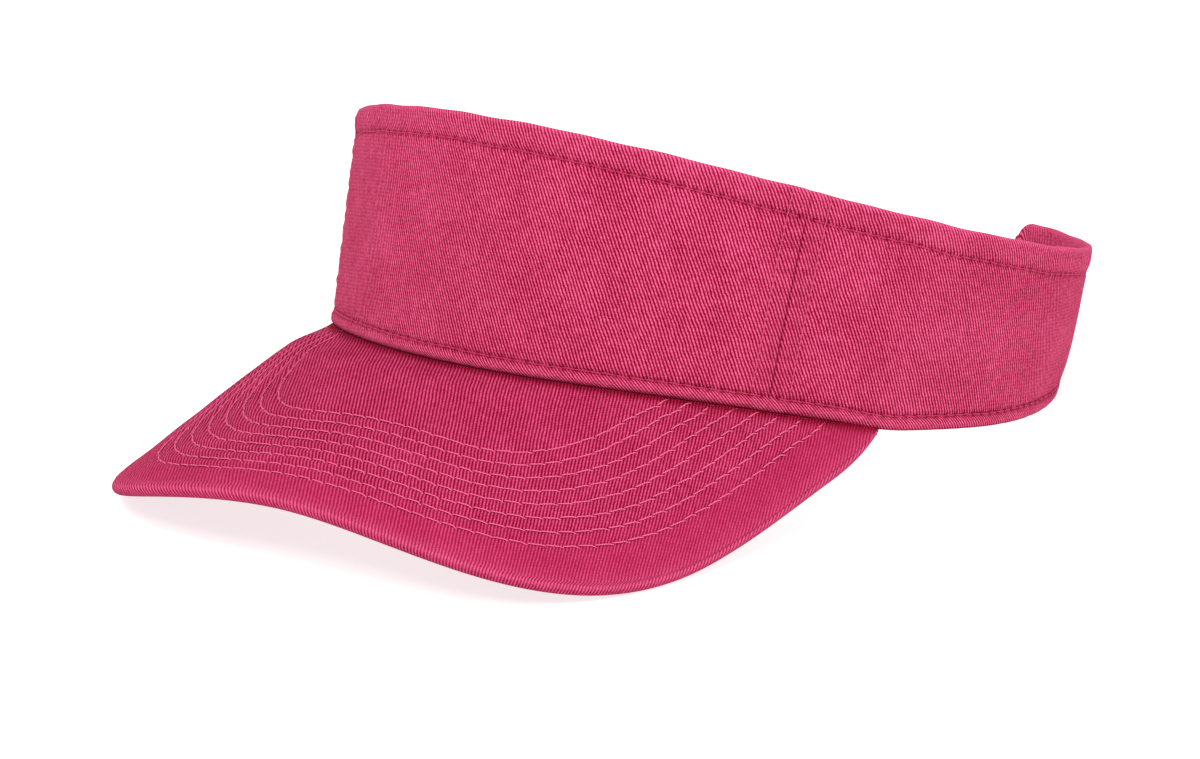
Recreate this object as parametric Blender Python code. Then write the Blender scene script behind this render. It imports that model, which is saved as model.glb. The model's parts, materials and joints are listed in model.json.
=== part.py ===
"""Sun visor: a twill head band, a stiffened bill and a hook-and-loop strap at the open back.

Metres, +Z up, +X towards the bill and +Y towards the wearer's left. The band is described
in its own frame, whose Z is the axis of the band and whose origin lies level with the
band's lower edge at the front. An empty then tilts that frame until the visor stands on a
table, on the two sides of its bill and the lower edge of its back.

Angles round the band are counted from the front, positive towards the wearer's left.
An inset is a distance from the band's outer face towards the head, a negative one outwards.
"""

import bmesh
import bpy
import numpy as np
from math import atan2, cos, pi, radians, sin
from mathutils import Matrix, Vector

MM = 0.001

# Band: half sizes of its oval at the lower and the upper edge, and its heights
BAND_LENGTH_LOW = 91.86 * MM
BAND_WIDTH_LOW = 87.18 * MM
BAND_LENGTH_HIGH = 90.01 * MM
BAND_WIDTH_HIGH = 90.61 * MM
BAND_SHIFT_HIGH = -0.81 * MM
OVAL_BACK_FULLNESS = 0.0381
OVAL_THREE_LOBES = 0.0137
TOP_MEAN = 47.27 * MM
TOP_FRONT_RISE = 6.29 * MM
TOP_SADDLE = 3.11 * MM
BACK_LIFT = 17.8 * MM

# Bill: an arched sheet that slopes forwards and down
BILL_LENGTH = 71.9 * MM
BILL_SLOPE = radians(33.8)
BILL_SLOPE_LOSS = radians(2.94)
BILL_LIFT = 0.00167 / MM
BILL_ARCH_RADIUS = 110.2 * MM
BILL_ARCH_SHARPENING = -2.13 * MM
ARCH_REFERENCE = 80.0 * MM
BILL_END = radians(69.7)
BILL_WIDEST_X = 53.2 * MM
BILL_FRONT_POWER = 2.93
BILL_REAR_POWER = 2.1
BILL_REAR_LENGTH = 78.9 * MM
BILL_HALF_THICKNESS = 1.5 * MM
BILL_PINCH_LENGTH = 9.0 * MM
BILL_LINES = 41
COVER_GAP = 0.5 * MM
PINCHED_TOP = -0.4 * MM
PINCHED_BOTTOM = -2.2 * MM
ROW_CLEARANCE = 0.62 * MM
BAND_CLEARANCE = 3.2 * MM
STITCH_ROW_FIRST = 12.4 * MM
STITCH_ROW_STEP = 4.24 * MM
STITCH_ROWS = 8

# Cloth, from the outer face inwards
GAP = 0.3 * MM
TWILL = 0.6 * MM
HEM_DEPTH = 1.8 * MM
HEM_HEIGHT = 6.5 * MM
EDGE_ROLL = 3.4 * MM
INTERLINING_INSET = 0.9 * MM
INTERLINING = 0.5 * MM
LINING_INSET = 2.1 * MM
LINING = 0.5 * MM
SWEATBAND_INSET = 2.9 * MM
SWEATBAND = 1.1 * MM
SWEATBAND_HEIGHT = 28.0 * MM
STIFFENER = 1.2 * MM
THREAD_RADIUS = 0.2 * MM
THREAD_INSET = -0.58 * MM

# Panels and closure
SIDE_SEAM = radians(50.5)
SEAM_GAP = radians(0.13)
SEAM_THREAD_ANGLE = radians(3.1)
LEFT_END = radians(156.0)
RIGHT_END = radians(152.0)
BADGE_HALF_ANGLE = radians(5.0)
BADGE_MARGIN = 1.2 * MM
STITCH_PINCH = 0.15 * MM
STRAP_START = radians(158.8)
STRAP_END = radians(232.0)
STRAP_CLIMB_END = radians(196.0)
STRAP_THICKNESS = 1.4 * MM
STRAP_HEIGHT = 19.0 * MM
STRAP_MIDDLE = 26.2 * MM
STRAP_CORNER = 6.0 * MM
TAPE_HEIGHT = 17.0 * MM
HOOK_TAPE_HEIGHT = 16.0 * MM
ROOT_TAB_HEIGHT = 12.0 * MM
TAPE = 1.0 * MM
LOOP_TAPE_START = radians(210.0)
LOOP_TAPE_END = radians(241.0)
HOOK_TAPE_START = radians(211.0)
HOOK_TAPE_END = radians(230.0)

# How the band's frame stands on the table, and the strap's fold line
STAND_PITCH = radians(15.5)
STAND_X = -27.8 * MM
STAND_Z = 9.08 * MM
STRAP_HINGE = radians(157.0)
STRAP_HINGE_INSET = 0.9 * MM

# Colours, linear, and finishes
TWILL_PINK = (0.546, 0.045, 0.138, 1.0)
BILL_PINK = (0.477, 0.028, 0.104, 1.0)
THREAD_PINK = (0.730, 0.085, 0.215, 1.0)
LINING_PINK = (0.430, 0.035, 0.110, 1.0)
TAPE_PINK = (0.400, 0.022, 0.090, 1.0)
LABEL_WHITE = (0.800, 0.790, 0.770, 1.0)
BOARD_WHITE = (0.620, 0.620, 0.600, 1.0)


def clear_scene():
    """Empties the file of the objects that it opened with."""
    for thing in list(bpy.data.objects):
        bpy.data.objects.remove(thing, do_unlink=True)


def cloth(name, colour, roughness):
    """A plain matt material for one piece."""
    made = bpy.data.materials.new(name)
    made.use_nodes = True
    shader = made.node_tree.nodes["Principled BSDF"]
    shader.inputs["Base Color"].default_value = colour
    shader.inputs["Roughness"].default_value = roughness
    shader.inputs["Metallic"].default_value = 0.0
    return made


def oval(angle, level):
    """A point in plan of the band's outer face, at a level from 0 (lower edge) to 1 (top)."""
    length = BAND_LENGTH_LOW + (BAND_LENGTH_HIGH - BAND_LENGTH_LOW) * level
    width = BAND_WIDTH_LOW + (BAND_WIDTH_HIGH - BAND_WIDTH_LOW) * level
    lobes = 1.0 + OVAL_THREE_LOBES * cos(3.0 * angle)
    x = BAND_SHIFT_HIGH * level + length * cos(angle) * lobes
    y = width * sin(angle) * (1.0 - OVAL_BACK_FULLNESS * cos(angle)) * lobes
    return Vector((x, y, 0.0))


def outward(angle, level):
    """The level direction that leaves the band's outer face squarely."""
    step = 1e-4
    along = oval(angle + step, level) - oval(angle - step, level)
    return Vector((along.y, -along.x, 0.0)).normalized()


def bill_height(x, y):
    """Height of the bill's middle surface: a slope, a lift at the front and an arch."""
    ahead = x - BAND_LENGTH_LOW
    across = min(abs(y), 0.97 * BILL_ARCH_RADIUS)
    share = y / ARCH_REFERENCE
    slope = BILL_SLOPE - BILL_SLOPE_LOSS * share ** 2
    arch = BILL_ARCH_RADIUS - (BILL_ARCH_RADIUS ** 2 - across ** 2) ** 0.5
    arch += BILL_ARCH_SHARPENING * share ** 4
    return -np.tan(slope) * ahead + BILL_LIFT * ahead * abs(ahead) - arch


def band_bottom(angle):
    """Height of the band's lower edge: on the bill in front, then rising towards the back."""
    turned = abs(atan2(sin(angle), cos(angle)))
    if turned <= BILL_END:
        here = oval(turned, 0.0)
        return bill_height(here.x, here.y)
    step = 1e-3
    end = oval(BILL_END, 0.0)
    before = oval(BILL_END - step, 0.0)
    height = bill_height(end.x, end.y)
    rate = 0.6 * (height - bill_height(before.x, before.y)) / step
    span = pi - BILL_END
    s = (turned - BILL_END) / span
    ease = 3.0 * s ** 2 - 2.0 * s ** 3
    return height + BACK_LIFT * ease + rate * span * (s ** 3 - 2.0 * s ** 2 + s)


def band_top(angle):
    """Height of the band's top edge: highest in front, with a slight saddle."""
    return TOP_MEAN + TOP_FRONT_RISE * cos(angle) + TOP_SADDLE * cos(2.0 * angle)


def band_point(angle, height, inset):
    """A point at a height above the band frame's origin, inset from the outer face."""
    low = band_bottom(angle)
    level = (height - low) / (band_top(angle) - low)
    here = oval(angle, level) - outward(angle, level) * inset
    here.z = height
    return here


def wall_profile(angle, rows):
    """Turns rows of (edge, height from that edge, inset) into points at one angle."""
    edges = {"low": band_bottom(angle), "top": band_top(angle)}
    return [band_point(angle, edges[edge] + rise, inset) for edge, rise, inset in rows]


def grid_piece(name, columns, rows, place, thickness, material, side=-1.0):
    """A sheet: a grid whose corners are placed by column and row, then given a thickness."""
    shape = bmesh.new()
    bmesh.ops.create_grid(shape, x_segments=columns, y_segments=rows, size=0.5)
    for corner in shape.verts:
        column = round((corner.co.x + 0.5) * columns)
        row = round((corner.co.y + 0.5) * rows)
        corner.co = place(column, row)
    mesh = bpy.data.meshes.new(name)
    shape.to_mesh(mesh)
    shape.free()
    piece = bpy.data.objects.new(name, mesh)
    bpy.context.scene.collection.objects.link(piece)
    wall = piece.modifiers.new("Thickness", "SOLIDIFY")
    wall.thickness = thickness
    wall.offset = side
    wall.use_even_offset = True
    wall.use_rim = True
    mesh.materials.append(material)
    return piece


def thread(name, points, material, radius=THREAD_RADIUS):
    """A sewing thread as one tube with closed ends."""
    line = bpy.data.curves.new(name, "CURVE")
    line.dimensions = "3D"
    line.bevel_depth = radius
    line.bevel_resolution = 0
    line.use_fill_caps = True
    run = line.splines.new("POLY")
    run.points.add(len(points) - 1)
    for knot, point in zip(run.points, points):
        knot.co = (*point, 1.0)
    line.materials.append(material)
    piece = bpy.data.objects.new(name, line)
    bpy.context.scene.collection.objects.link(piece)
    return piece


def side_angles(first, last, columns):
    """Evenly spaced angles from one end of a panel to the other."""
    return [first + (last - first) * i / columns for i in range(columns + 1)]


def front_angles(columns=14):
    """Angles of the front panel, evenly spaced but for one flat facet in the middle."""
    edge = SIDE_SEAM - SEAM_GAP
    right = side_angles(-edge, -BADGE_HALF_ANGLE, columns // 2)
    return right + [-angle for angle in reversed(right)]


PANEL_ANGLES = {
    "front": front_angles(),
    "left": side_angles(SIDE_SEAM + SEAM_GAP, LEFT_END, 17),
    "right": side_angles(-RIGHT_END, -SIDE_SEAM - SEAM_GAP, 16),
}

PANEL_ROWS = [
    ("low", 6.0 * MM, HEM_DEPTH),
    ("low", 0.6 * MM, HEM_DEPTH),
    ("low", 0.0, 0.5 * HEM_DEPTH),
    ("low", 0.6 * MM, -0.1 * MM),
    ("low", 2.0 * MM, -0.4 * MM),
    ("low", EDGE_ROLL, STITCH_PINCH),
    ("low", EDGE_ROLL + BADGE_MARGIN, 0.0),
    ("top", -HEM_HEIGHT - BADGE_MARGIN, 0.0),
    ("top", -HEM_HEIGHT, STITCH_PINCH),
    ("top", -3.2 * MM, -0.25 * MM),
    ("top", -0.6 * MM, 0.1 * MM),
    ("top", 0.0, 0.5 * HEM_DEPTH),
    ("top", -0.6 * MM, HEM_DEPTH),
    ("top", -HEM_HEIGHT, HEM_DEPTH),
]


def wall_piece(name, angles, rows, thickness, material):
    """A piece of the band's wall, with the same rows of points at each of its angles."""
    columns = [wall_profile(angle, rows) for angle in angles]
    return grid_piece(name, len(angles) - 1, len(rows) - 1,
                      lambda column, row: columns[column][row], thickness, material)


def sweatband_height(angle):
    """Height of the sweatband, less where the band narrows towards the back."""
    return min(SWEATBAND_HEIGHT, 0.68 * (band_top(angle) - band_bottom(angle)))


def make_band(side):
    """One panel of the band with its lining, its sweatband and its long threads."""
    angles = PANEL_ANGLES[side]
    pink = cloth(side + "_panel_twill", TWILL_PINK, 0.85)
    inner = cloth(side + "_lining_cloth", LINING_PINK, 0.9)
    towel = cloth(side + "_sweatband_cloth", LINING_PINK, 0.95)
    sewing = cloth(side + "_panel_thread", THREAD_PINK, 0.7)
    lining_rows = [("low", 1.0 * MM, LINING_INSET), ("top", -5.0 * MM, LINING_INSET)]
    made = [
        wall_piece(side + "_panel", angles, PANEL_ROWS, TWILL, pink),
        wall_piece(side + "_lining", angles, lining_rows, LINING, inner),
    ]

    def sweatband_corner(column, row):
        angle = angles[column]
        low = band_bottom(angle) + GAP
        return band_point(angle, low + (sweatband_height(angle) - GAP) * row, SWEATBAND_INSET)

    made.append(grid_piece(side + "_sweatband", len(angles) - 1, 1, sweatband_corner,
                           SWEATBAND, towel))
    for label, edge, rise in (("hem", "top", -HEM_HEIGHT), ("edge", "low", EDGE_ROLL)):
        row = [(edge, rise, THREAD_INSET)]
        points = [wall_profile(angle, row)[0] for angle in angles]
        made.append(thread(side + "_" + label + "_thread", points, sewing))
    return made


def make_interlining():
    """The stiff cloth behind the front panel, between its two folded edges."""
    rows = [("low", 7.0 * MM, INTERLINING_INSET), ("top", -7.5 * MM, INTERLINING_INSET)]
    stiff = cloth("buckram", LABEL_WHITE, 0.9)
    return wall_piece("front_interlining", PANEL_ANGLES["front"], rows, INTERLINING, stiff)


def make_side_seam(side, sign):
    """The tape inside a side seam, and the two lines of topstitching beside it."""
    tape = cloth(side + "_tape_cloth", TAPE_PINK, 0.9)
    sewing = cloth(side + "_seam_thread", THREAD_PINK, 0.7)
    angles = side_angles(sign * SIDE_SEAM - radians(3.6), sign * SIDE_SEAM + radians(3.6), 2)
    low_edge = [band_bottom(angle) + sweatband_height(angle) + 0.6 * MM for angle in angles]

    def tape_corner(column, row):
        angle = angles[column]
        height = low_edge[column] if row == 0 else band_top(angle) - 5.5 * MM
        return band_point(angle, height, SWEATBAND_INSET)

    made = [grid_piece(side + "_seam_tape", 2, 1, tape_corner, 0.4 * MM, tape)]
    for label, away in (("front", -SEAM_THREAD_ANGLE), ("rear", SEAM_THREAD_ANGLE)):
        angle = sign * (SIDE_SEAM + away)
        rows = [("low", 5.0 * MM, THREAD_INSET), ("top", -7.6 * MM, THREAD_INSET)]
        points = wall_profile(angle, rows)
        made.append(thread(side + "_seam_thread_" + label, points, sewing))
    return made


def bill_edge(count):
    """The bill's outer edge in plan, evenly spaced from the wearer's right to the left."""
    root = oval(BILL_END, 0.0)
    front = BAND_LENGTH_LOW + BILL_LENGTH * cos(BILL_SLOPE) - BILL_WIDEST_X
    back = (BILL_WIDEST_X - root.x) / BILL_REAR_LENGTH
    width = root.y / (1.0 - back ** BILL_REAR_POWER) ** (1.0 / BILL_REAR_POWER)
    start = np.arccos(back ** (BILL_REAR_POWER / 2.0))
    turn = np.linspace(start, pi / 2.0, 200)
    rear_x = BILL_WIDEST_X - BILL_REAR_LENGTH * np.cos(turn) ** (2.0 / BILL_REAR_POWER)
    rear_y = width * np.sin(turn) ** (2.0 / BILL_REAR_POWER)
    turn = np.linspace(pi / 2.0, 0.0, 400)[1:]
    front_x = BILL_WIDEST_X + front * np.cos(turn) ** (2.0 / BILL_FRONT_POWER)
    front_y = width * np.sin(turn) ** (2.0 / BILL_FRONT_POWER)
    half = np.stack([np.r_[rear_x, front_x], np.r_[rear_y, front_y]], 1)
    whole = np.r_[half * (1, -1), half[-2::-1]]
    reach = np.r_[0.0, np.cumsum(np.linalg.norm(np.diff(whole, axis=0), axis=1))]
    even = np.linspace(0.0, reach[-1], count)
    return np.stack([np.interp(even, reach, whole[:, axis]) for axis in (0, 1)], 1)


def bill_normal(x, y):
    """The direction that leaves the bill's middle surface squarely, upwards."""
    step = 0.1 * MM
    rise_x = (bill_height(x + step, y) - bill_height(x - step, y)) / (2.0 * step)
    rise_y = (bill_height(x, y + step) - bill_height(x, y - step)) / (2.0 * step)
    return Vector((-rise_x, -rise_y, 1.0)).normalized()


def eased(distance):
    """0 at the band and 1 from the pinch length on, smoothly."""
    share = min(max(distance / BILL_PINCH_LENGTH, 0.0), 1.0)
    return share * share * (3.0 - 2.0 * share)


def top_offset(distance):
    """Height of the bill's upper face over its middle surface, less next to the band."""
    return PINCHED_TOP + (BILL_HALF_THICKNESS - PINCHED_TOP) * eased(distance)


def bottom_offset(distance):
    """Height of the bill's lower face, below its middle surface."""
    return PINCHED_BOTTOM - (BILL_HALF_THICKNESS + PINCHED_BOTTOM) * eased(distance)


class BillColumn:
    """One line across the bill, from the band to the outer edge."""

    def __init__(self, index, edge):
        self.angle = BILL_END * (2.0 * index / (BILL_LINES - 1.0) - 1.0)
        self.root = oval(self.angle, 0.0)
        self.edge = Vector((*edge[index], 0.0))
        along = edge[index + 1] - edge[index - 1]
        self.away = Vector((along[1], -along[0], 0.0)).normalized()
        self.low = band_bottom(self.angle)
        self.width = (self.edge - self.root).length
        self.across = (self.edge - self.root).normalized()

    def reach(self):
        """Distance from the band to where the rounded outer edge begins."""
        return self.width - self.rim_radius()

    def pinch_end(self):
        """Distance from the band to where the bill has its full thickness."""
        return min(BILL_PINCH_LENGTH, 0.4 * self.width)

    def stations(self):
        """Distances from the band of the bends that the covers and the stiffener share."""
        start = self.pinch_end()
        run = self.reach() - start
        return [0.5 * start, start] + [start + run * share for share in (0.2, 0.42, 0.65)]

    def lip(self):
        """Width of the upper cover's turned lip, which ends beyond the last station."""
        return min(5.0 * MM, max(0.3 * (self.reach() - self.pinch_end()) - COVER_GAP, GAP))

    def rim_radius(self):
        """Half the bill's thickness at its outer edge."""
        return 0.5 * (top_offset(self.width) - bottom_offset(self.width))

    def surface(self, distance, offset):
        """A point at a distance from the band, above or below the middle surface."""
        here = self.root + self.across * distance
        up = bill_normal(here.x, here.y)
        return Vector((here.x, here.y, bill_height(here.x, here.y))) + up * offset

    def rim(self, turn):
        """A point on the rounded outer edge, 90 degrees on top and -90 beneath."""
        radius = self.rim_radius()
        middle = 0.5 * (top_offset(self.width) + bottom_offset(self.width))
        up = bill_normal(self.edge.x, self.edge.y)
        away = (self.away - up * self.away.dot(up)).normalized()
        here = Vector((self.edge.x, self.edge.y, bill_height(self.edge.x, self.edge.y)))
        here += up * (middle + radius * sin(turn))
        return here + away * (radius * cos(turn) - radius)

    def under_band(self, offset, inset):
        """A point beneath the band's lower edge."""
        here = self.root - outward(self.angle, 0.0) * inset
        return Vector((here.x, here.y, self.low + offset))


def bill_columns(skipped):
    """The lines across the bill, without the skipped ones at each of its thin ends."""
    edge = bill_edge(BILL_LINES)
    return [BillColumn(index, edge) for index in range(skipped, BILL_LINES - skipped)]


def make_bill_covers():
    """The upper cover wraps round the edge, and the lower one stops short of its lip."""
    def top_line(column):
        line = [column.under_band(top_offset(0.0), inset) for inset in (HEM_DEPTH, 0.0)]
        for distance in column.stations():
            line.append(column.surface(distance, top_offset(distance)))
        line += [column.rim(radians(turn)) for turn in (90, 45, 0, -45, -90)]
        line.append(column.surface(column.reach() - column.lip(), bottom_offset(column.width)))
        return line[::-1]

    def bottom_line(column):
        line = [column.under_band(bottom_offset(0.0), inset) for inset in (HEM_DEPTH, 0.0)]
        end = column.reach() - column.lip() - COVER_GAP
        for distance in column.stations() + [end]:
            line.append(column.surface(distance, bottom_offset(distance)))
        return line

    made = []
    covers = (("bill_top_cover", 1, top_line), ("bill_bottom_cover", 2, bottom_line))
    for name, skipped, line_of in covers:
        lines = [line_of(column) for column in bill_columns(skipped)]
        made.append(grid_piece(name, len(lines) - 1, len(lines[0]) - 1,
                               lambda column, row, lines=lines: lines[column][row],
                               TWILL, cloth(name + "_twill", BILL_PINK, 0.85)))
    return made


def make_stiffener():
    """The plastic insert between the bill's covers."""
    columns = bill_columns(7)
    start = BILL_PINCH_LENGTH + 1.0 * MM

    def corner(column, row):
        line = columns[column]
        stops = [start] + line.stations()[2:] + [line.reach()]
        return line.surface(stops[4 - row], 0.0)

    board = cloth("stiffener_plastic", BOARD_WHITE, 0.5)
    return grid_piece("bill_stiffener", len(columns) - 1, 4, corner, STIFFENER, board, 0.0)


def bill_row_points(inward):
    """A stitch row: the outer edge moved inwards over the bent surface, clear of the band."""
    edge = bill_edge(241)
    round_arch = BILL_ARCH_RADIUS * np.arcsin(edge[:, 1] / BILL_ARCH_RADIUS)
    down_slope = edge[:, 0] / cos(BILL_SLOPE)
    along = np.stack([np.gradient(round_arch), np.gradient(down_slope)], 1)
    along /= np.linalg.norm(along, axis=1)[:, None]
    round_arch = round_arch + along[:, 1] * inward
    down_slope = down_slope - along[:, 0] * inward
    x = down_slope * cos(BILL_SLOPE)
    y = BILL_ARCH_RADIUS * np.sin(round_arch / BILL_ARCH_RADIUS)
    points = []
    for here_x, here_y in zip(x, y):
        angle = atan2(here_y / BAND_WIDTH_LOW, here_x / BAND_LENGTH_LOW)
        root = oval(angle, 0.0)
        distance = (here_x ** 2 + here_y ** 2) ** 0.5 - root.length
        if distance < BAND_CLEARANCE or here_x < 0.0:
            continue
        offset = top_offset(distance) + ROW_CLEARANCE
        here = Vector((here_x, here_y, bill_height(here_x, here_y)))
        points.append(here + bill_normal(here_x, here_y) * offset)
    return points[::6] + points[-1:]


def make_bill_rows():
    """The rows of stitching, each one thread, from the outer edge inwards."""
    sewing = cloth("bill_thread", THREAD_PINK, 0.7)
    return [thread("bill_stitch_row_%d" % (row + 1),
                   bill_row_points(STITCH_ROW_FIRST + row * STITCH_ROW_STEP), sewing)
            for row in range(STITCH_ROWS)]


def wrapped_strip(name, start, end, columns, inset_of, height, thickness, material, round_end=0.0):
    """A strip round the back of the band at one height, with an inset for each angle."""
    angles = side_angles(start, end, columns)

    def corner(column, row):
        angle = angles[column]
        left = (end - angle) * BAND_LENGTH_LOW
        half = 0.5 * height
        if left < round_end:
            half -= round_end - (round_end ** 2 - (round_end - left) ** 2) ** 0.5
        return band_point(angle, STRAP_MIDDLE + (row - 0.5) * 2.0 * half, inset_of(angle))

    return grid_piece(name, columns, 1, corner, thickness, material)


def strap_inset(angle):
    """Inset of the strap's outer face: in the wall's line at its root, then outside the tapes."""
    outside = -(2.0 * (GAP + TAPE) + GAP + STRAP_THICKNESS)
    share = min(max((angle - STRAP_START) / (STRAP_CLIMB_END - STRAP_START), 0.0), 1.0)
    return GAP + (outside - GAP) * share * share * (3.0 - 2.0 * share)


def make_closure():
    """The pieces of the closure that stay on the band."""
    tape = cloth("loop_pile", TAPE_PINK, 0.95)
    twill = cloth("strap_root_twill", TWILL_PINK, 0.85)
    sewing = cloth("closure_thread", THREAD_PINK, 0.7)
    loop = wrapped_strip("loop_tape", LOOP_TAPE_START, LOOP_TAPE_END, 5,
                         lambda angle: -(GAP + TAPE), TAPE_HEIGHT, TAPE, tape)
    root = wrapped_strip("strap_root_tab", radians(147.0), radians(155.6), 2,
                         lambda angle: INTERLINING_INSET, ROOT_TAB_HEIGHT, TWILL, twill)
    points = []
    low, high = STRAP_MIDDLE - 6.0 * MM, STRAP_MIDDLE + 6.0 * MM
    near, far = radians(149.0), radians(154.5)
    for angle, height in ((near, low), (far, low), (far, high), (near, high), (near, low + 1.0 * MM)):
        points.append(band_point(angle, height, THREAD_INSET))
    return [loop, root, thread("strap_root_thread", points, sewing)]


def make_strap():
    """The strap with its hook tape and edge thread, which all swing together."""
    twill = cloth("strap_twill", TWILL_PINK, 0.85)
    tape = cloth("hook_pile", TAPE_PINK, 0.6)
    sewing = cloth("strap_thread", THREAD_PINK, 0.7)
    strap = wrapped_strip("closure_strap", STRAP_START, STRAP_END, 18, strap_inset,
                          STRAP_HEIGHT, STRAP_THICKNESS, twill, STRAP_CORNER)
    hook = wrapped_strip("hook_tape", HOOK_TAPE_START, HOOK_TAPE_END, 4,
                         lambda angle: -2.0 * (GAP + TAPE), HOOK_TAPE_HEIGHT, TAPE, tape)
    inner = side_angles(STRAP_START + radians(2.0), STRAP_END - radians(2.5), 16)
    outline = []
    for angles, rise in ((inner, -8.0 * MM), (inner[::-1], 8.0 * MM)):
        for angle in angles:
            outline.append(band_point(angle, STRAP_MIDDLE + rise, strap_inset(angle) + THREAD_INSET))
    return [strap, hook, thread("strap_edge_thread", outline, sewing)]


def make_label():
    """A blank care label that hangs inside the left of the band."""
    white = cloth("label_satin", LABEL_WHITE, 0.6)
    angles = side_angles(radians(100.0), radians(108.0), 2)

    def corner(column, row):
        angle = angles[column]
        return band_point(angle, band_bottom(angle) + (4.0 + 20.0 * row) * MM, 4.35 * MM)

    return grid_piece("care_label", 2, 1, corner, 0.3 * MM, white)


def stand_up(pieces, strap_pieces):
    """Parents every piece to the tilted band frame, and the strap's to its own hinge."""
    stand = bpy.data.objects.new("band_frame", None)
    stand.location = (STAND_X, 0.0, STAND_Z)
    stand.rotation_euler = (0.0, -STAND_PITCH, 0.0)
    bpy.context.scene.collection.objects.link(stand)
    placed = Matrix.LocRotScale(stand.location, stand.rotation_euler, None)
    for piece in pieces:
        piece.parent = stand
    hinge = bpy.data.objects.new("strap_hinge", None)
    hinge.location = placed @ band_point(STRAP_HINGE, STRAP_MIDDLE, STRAP_HINGE_INSET)
    bpy.context.scene.collection.objects.link(hinge)
    to_hinge = Matrix.Translation(hinge.location).inverted() @ placed
    for piece in strap_pieces:
        piece.data.transform(to_hinge)
        piece.parent = hinge


def main():
    clear_scene()
    pieces = []
    for side in ("front", "left", "right"):
        pieces += make_band(side)
    pieces.append(make_interlining())
    pieces += make_side_seam("left", 1.0)
    pieces += make_side_seam("right", -1.0)
    pieces += make_bill_covers()
    pieces.append(make_stiffener())
    pieces += make_bill_rows()
    pieces += make_closure()
    pieces.append(make_label())
    stand_up(pieces, make_strap())


main()
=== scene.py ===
"""A washed twill sun visor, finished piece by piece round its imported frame.

Every surface is a grid of points worked out with numpy. Places on the head band are given
by an angle round the band (0 in front, positive towards the wearer's left), a height over
the band frame's origin and an inset from the outer face towards the head. The band frame is
tilted so that the visor stands on a table, and to_table() turns its points into the row
frame's. Millimetres are written with MM.
"""

import json

import bpy
import numpy as np
from mathutils import Matrix, Vector


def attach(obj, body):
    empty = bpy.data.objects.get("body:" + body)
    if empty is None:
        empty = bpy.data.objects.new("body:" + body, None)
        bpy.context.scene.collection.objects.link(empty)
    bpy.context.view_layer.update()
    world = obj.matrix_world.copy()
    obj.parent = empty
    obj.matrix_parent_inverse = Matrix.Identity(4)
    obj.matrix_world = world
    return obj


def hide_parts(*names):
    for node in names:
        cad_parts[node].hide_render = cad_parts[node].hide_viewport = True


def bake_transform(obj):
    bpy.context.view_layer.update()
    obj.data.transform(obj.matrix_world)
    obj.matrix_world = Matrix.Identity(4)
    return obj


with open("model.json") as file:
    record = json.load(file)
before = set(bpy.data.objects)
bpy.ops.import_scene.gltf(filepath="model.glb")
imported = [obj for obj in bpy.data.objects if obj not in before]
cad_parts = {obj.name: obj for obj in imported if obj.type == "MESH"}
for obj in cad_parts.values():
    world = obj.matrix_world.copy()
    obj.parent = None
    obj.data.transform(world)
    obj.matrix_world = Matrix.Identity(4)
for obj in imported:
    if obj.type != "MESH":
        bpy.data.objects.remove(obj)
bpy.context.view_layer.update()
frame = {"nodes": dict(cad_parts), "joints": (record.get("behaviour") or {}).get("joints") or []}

bl_info = {
    "name": "Twill Sun Visor",
    "version": (1, 0, 0),
    "blender": (4, 5, 0),
    "location": "3D View > Sidebar > Visor",
    "description": "Builds the cloth, stitching, closure and stage of a twill sun visor",
    "category": "Object",
}

MM = 0.001

# Band and bill: the shape of the frame's solids
BAND_LENGTHS = (91.86 * MM, 90.01 * MM)
BAND_WIDTHS = (87.18 * MM, 90.61 * MM)
BAND_SHIFT_HIGH = -0.81 * MM
OVAL_BACK_FULLNESS = 0.0381
OVAL_THREE_LOBES = 0.0137
TOP_MEAN = 47.27 * MM
TOP_FRONT_RISE = 6.29 * MM
TOP_SADDLE = 3.11 * MM
BACK_LIFT = 17.8 * MM
BILL_LENGTH = 71.9 * MM
BILL_SLOPE = np.radians(33.8)
BILL_SLOPE_LOSS = np.radians(2.94)
BILL_LIFT = 0.00167 / MM
BILL_ARCH_RADIUS = 110.2 * MM
BILL_ARCH_SHARPENING = -2.13 * MM
ARCH_REFERENCE = 80.0 * MM
BILL_END = np.radians(69.7)
BILL_WIDEST_X = 53.2 * MM
BILL_FRONT_POWER = 2.93
BILL_REAR_POWER = 2.1
BILL_REAR_LENGTH = 78.9 * MM
BILL_HALF_THICKNESS = 1.5 * MM
BILL_PINCH_LENGTH = 9.0 * MM
PINCHED_TOP = -0.4 * MM
PINCHED_BOTTOM = -2.2 * MM
SIDE_SEAM = np.radians(50.5)
LEFT_END = np.radians(156.0)
RIGHT_END = np.radians(152.0)
STRAP_MIDDLE = 26.2 * MM
STRAP_START = np.radians(158.8)
STRAP_END = np.radians(232.0)
STRAP_CLIMB_END = np.radians(196.0)
STRAP_HINGE = np.radians(157.0)
STRAP_HINGE_INSET = 0.9 * MM
STAND_PITCH = np.radians(15.5)
REAR_DRAW = 1.2 * MM
REAR_DRAW_HEIGHT = 15.0 * MM

# The view, in the band frame: where the eye is turned about, and how it is turned
VIEW_MIDDLE = np.array((20.0, 0.0, 20.0)) * MM
VIEW_SIDE = np.radians(35.842)
VIEW_ABOVE = np.radians(5.0646)
VIEW_ROLL = np.radians(7.9943)
VIEW_DISTANCE = 1521.4 * MM
VIEW_SHIFT = (-11.991 * MM, -23.722 * MM)
VIEW_LENS = 189.69


# ---------------------------------------------------------------- the visor's shape

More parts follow.
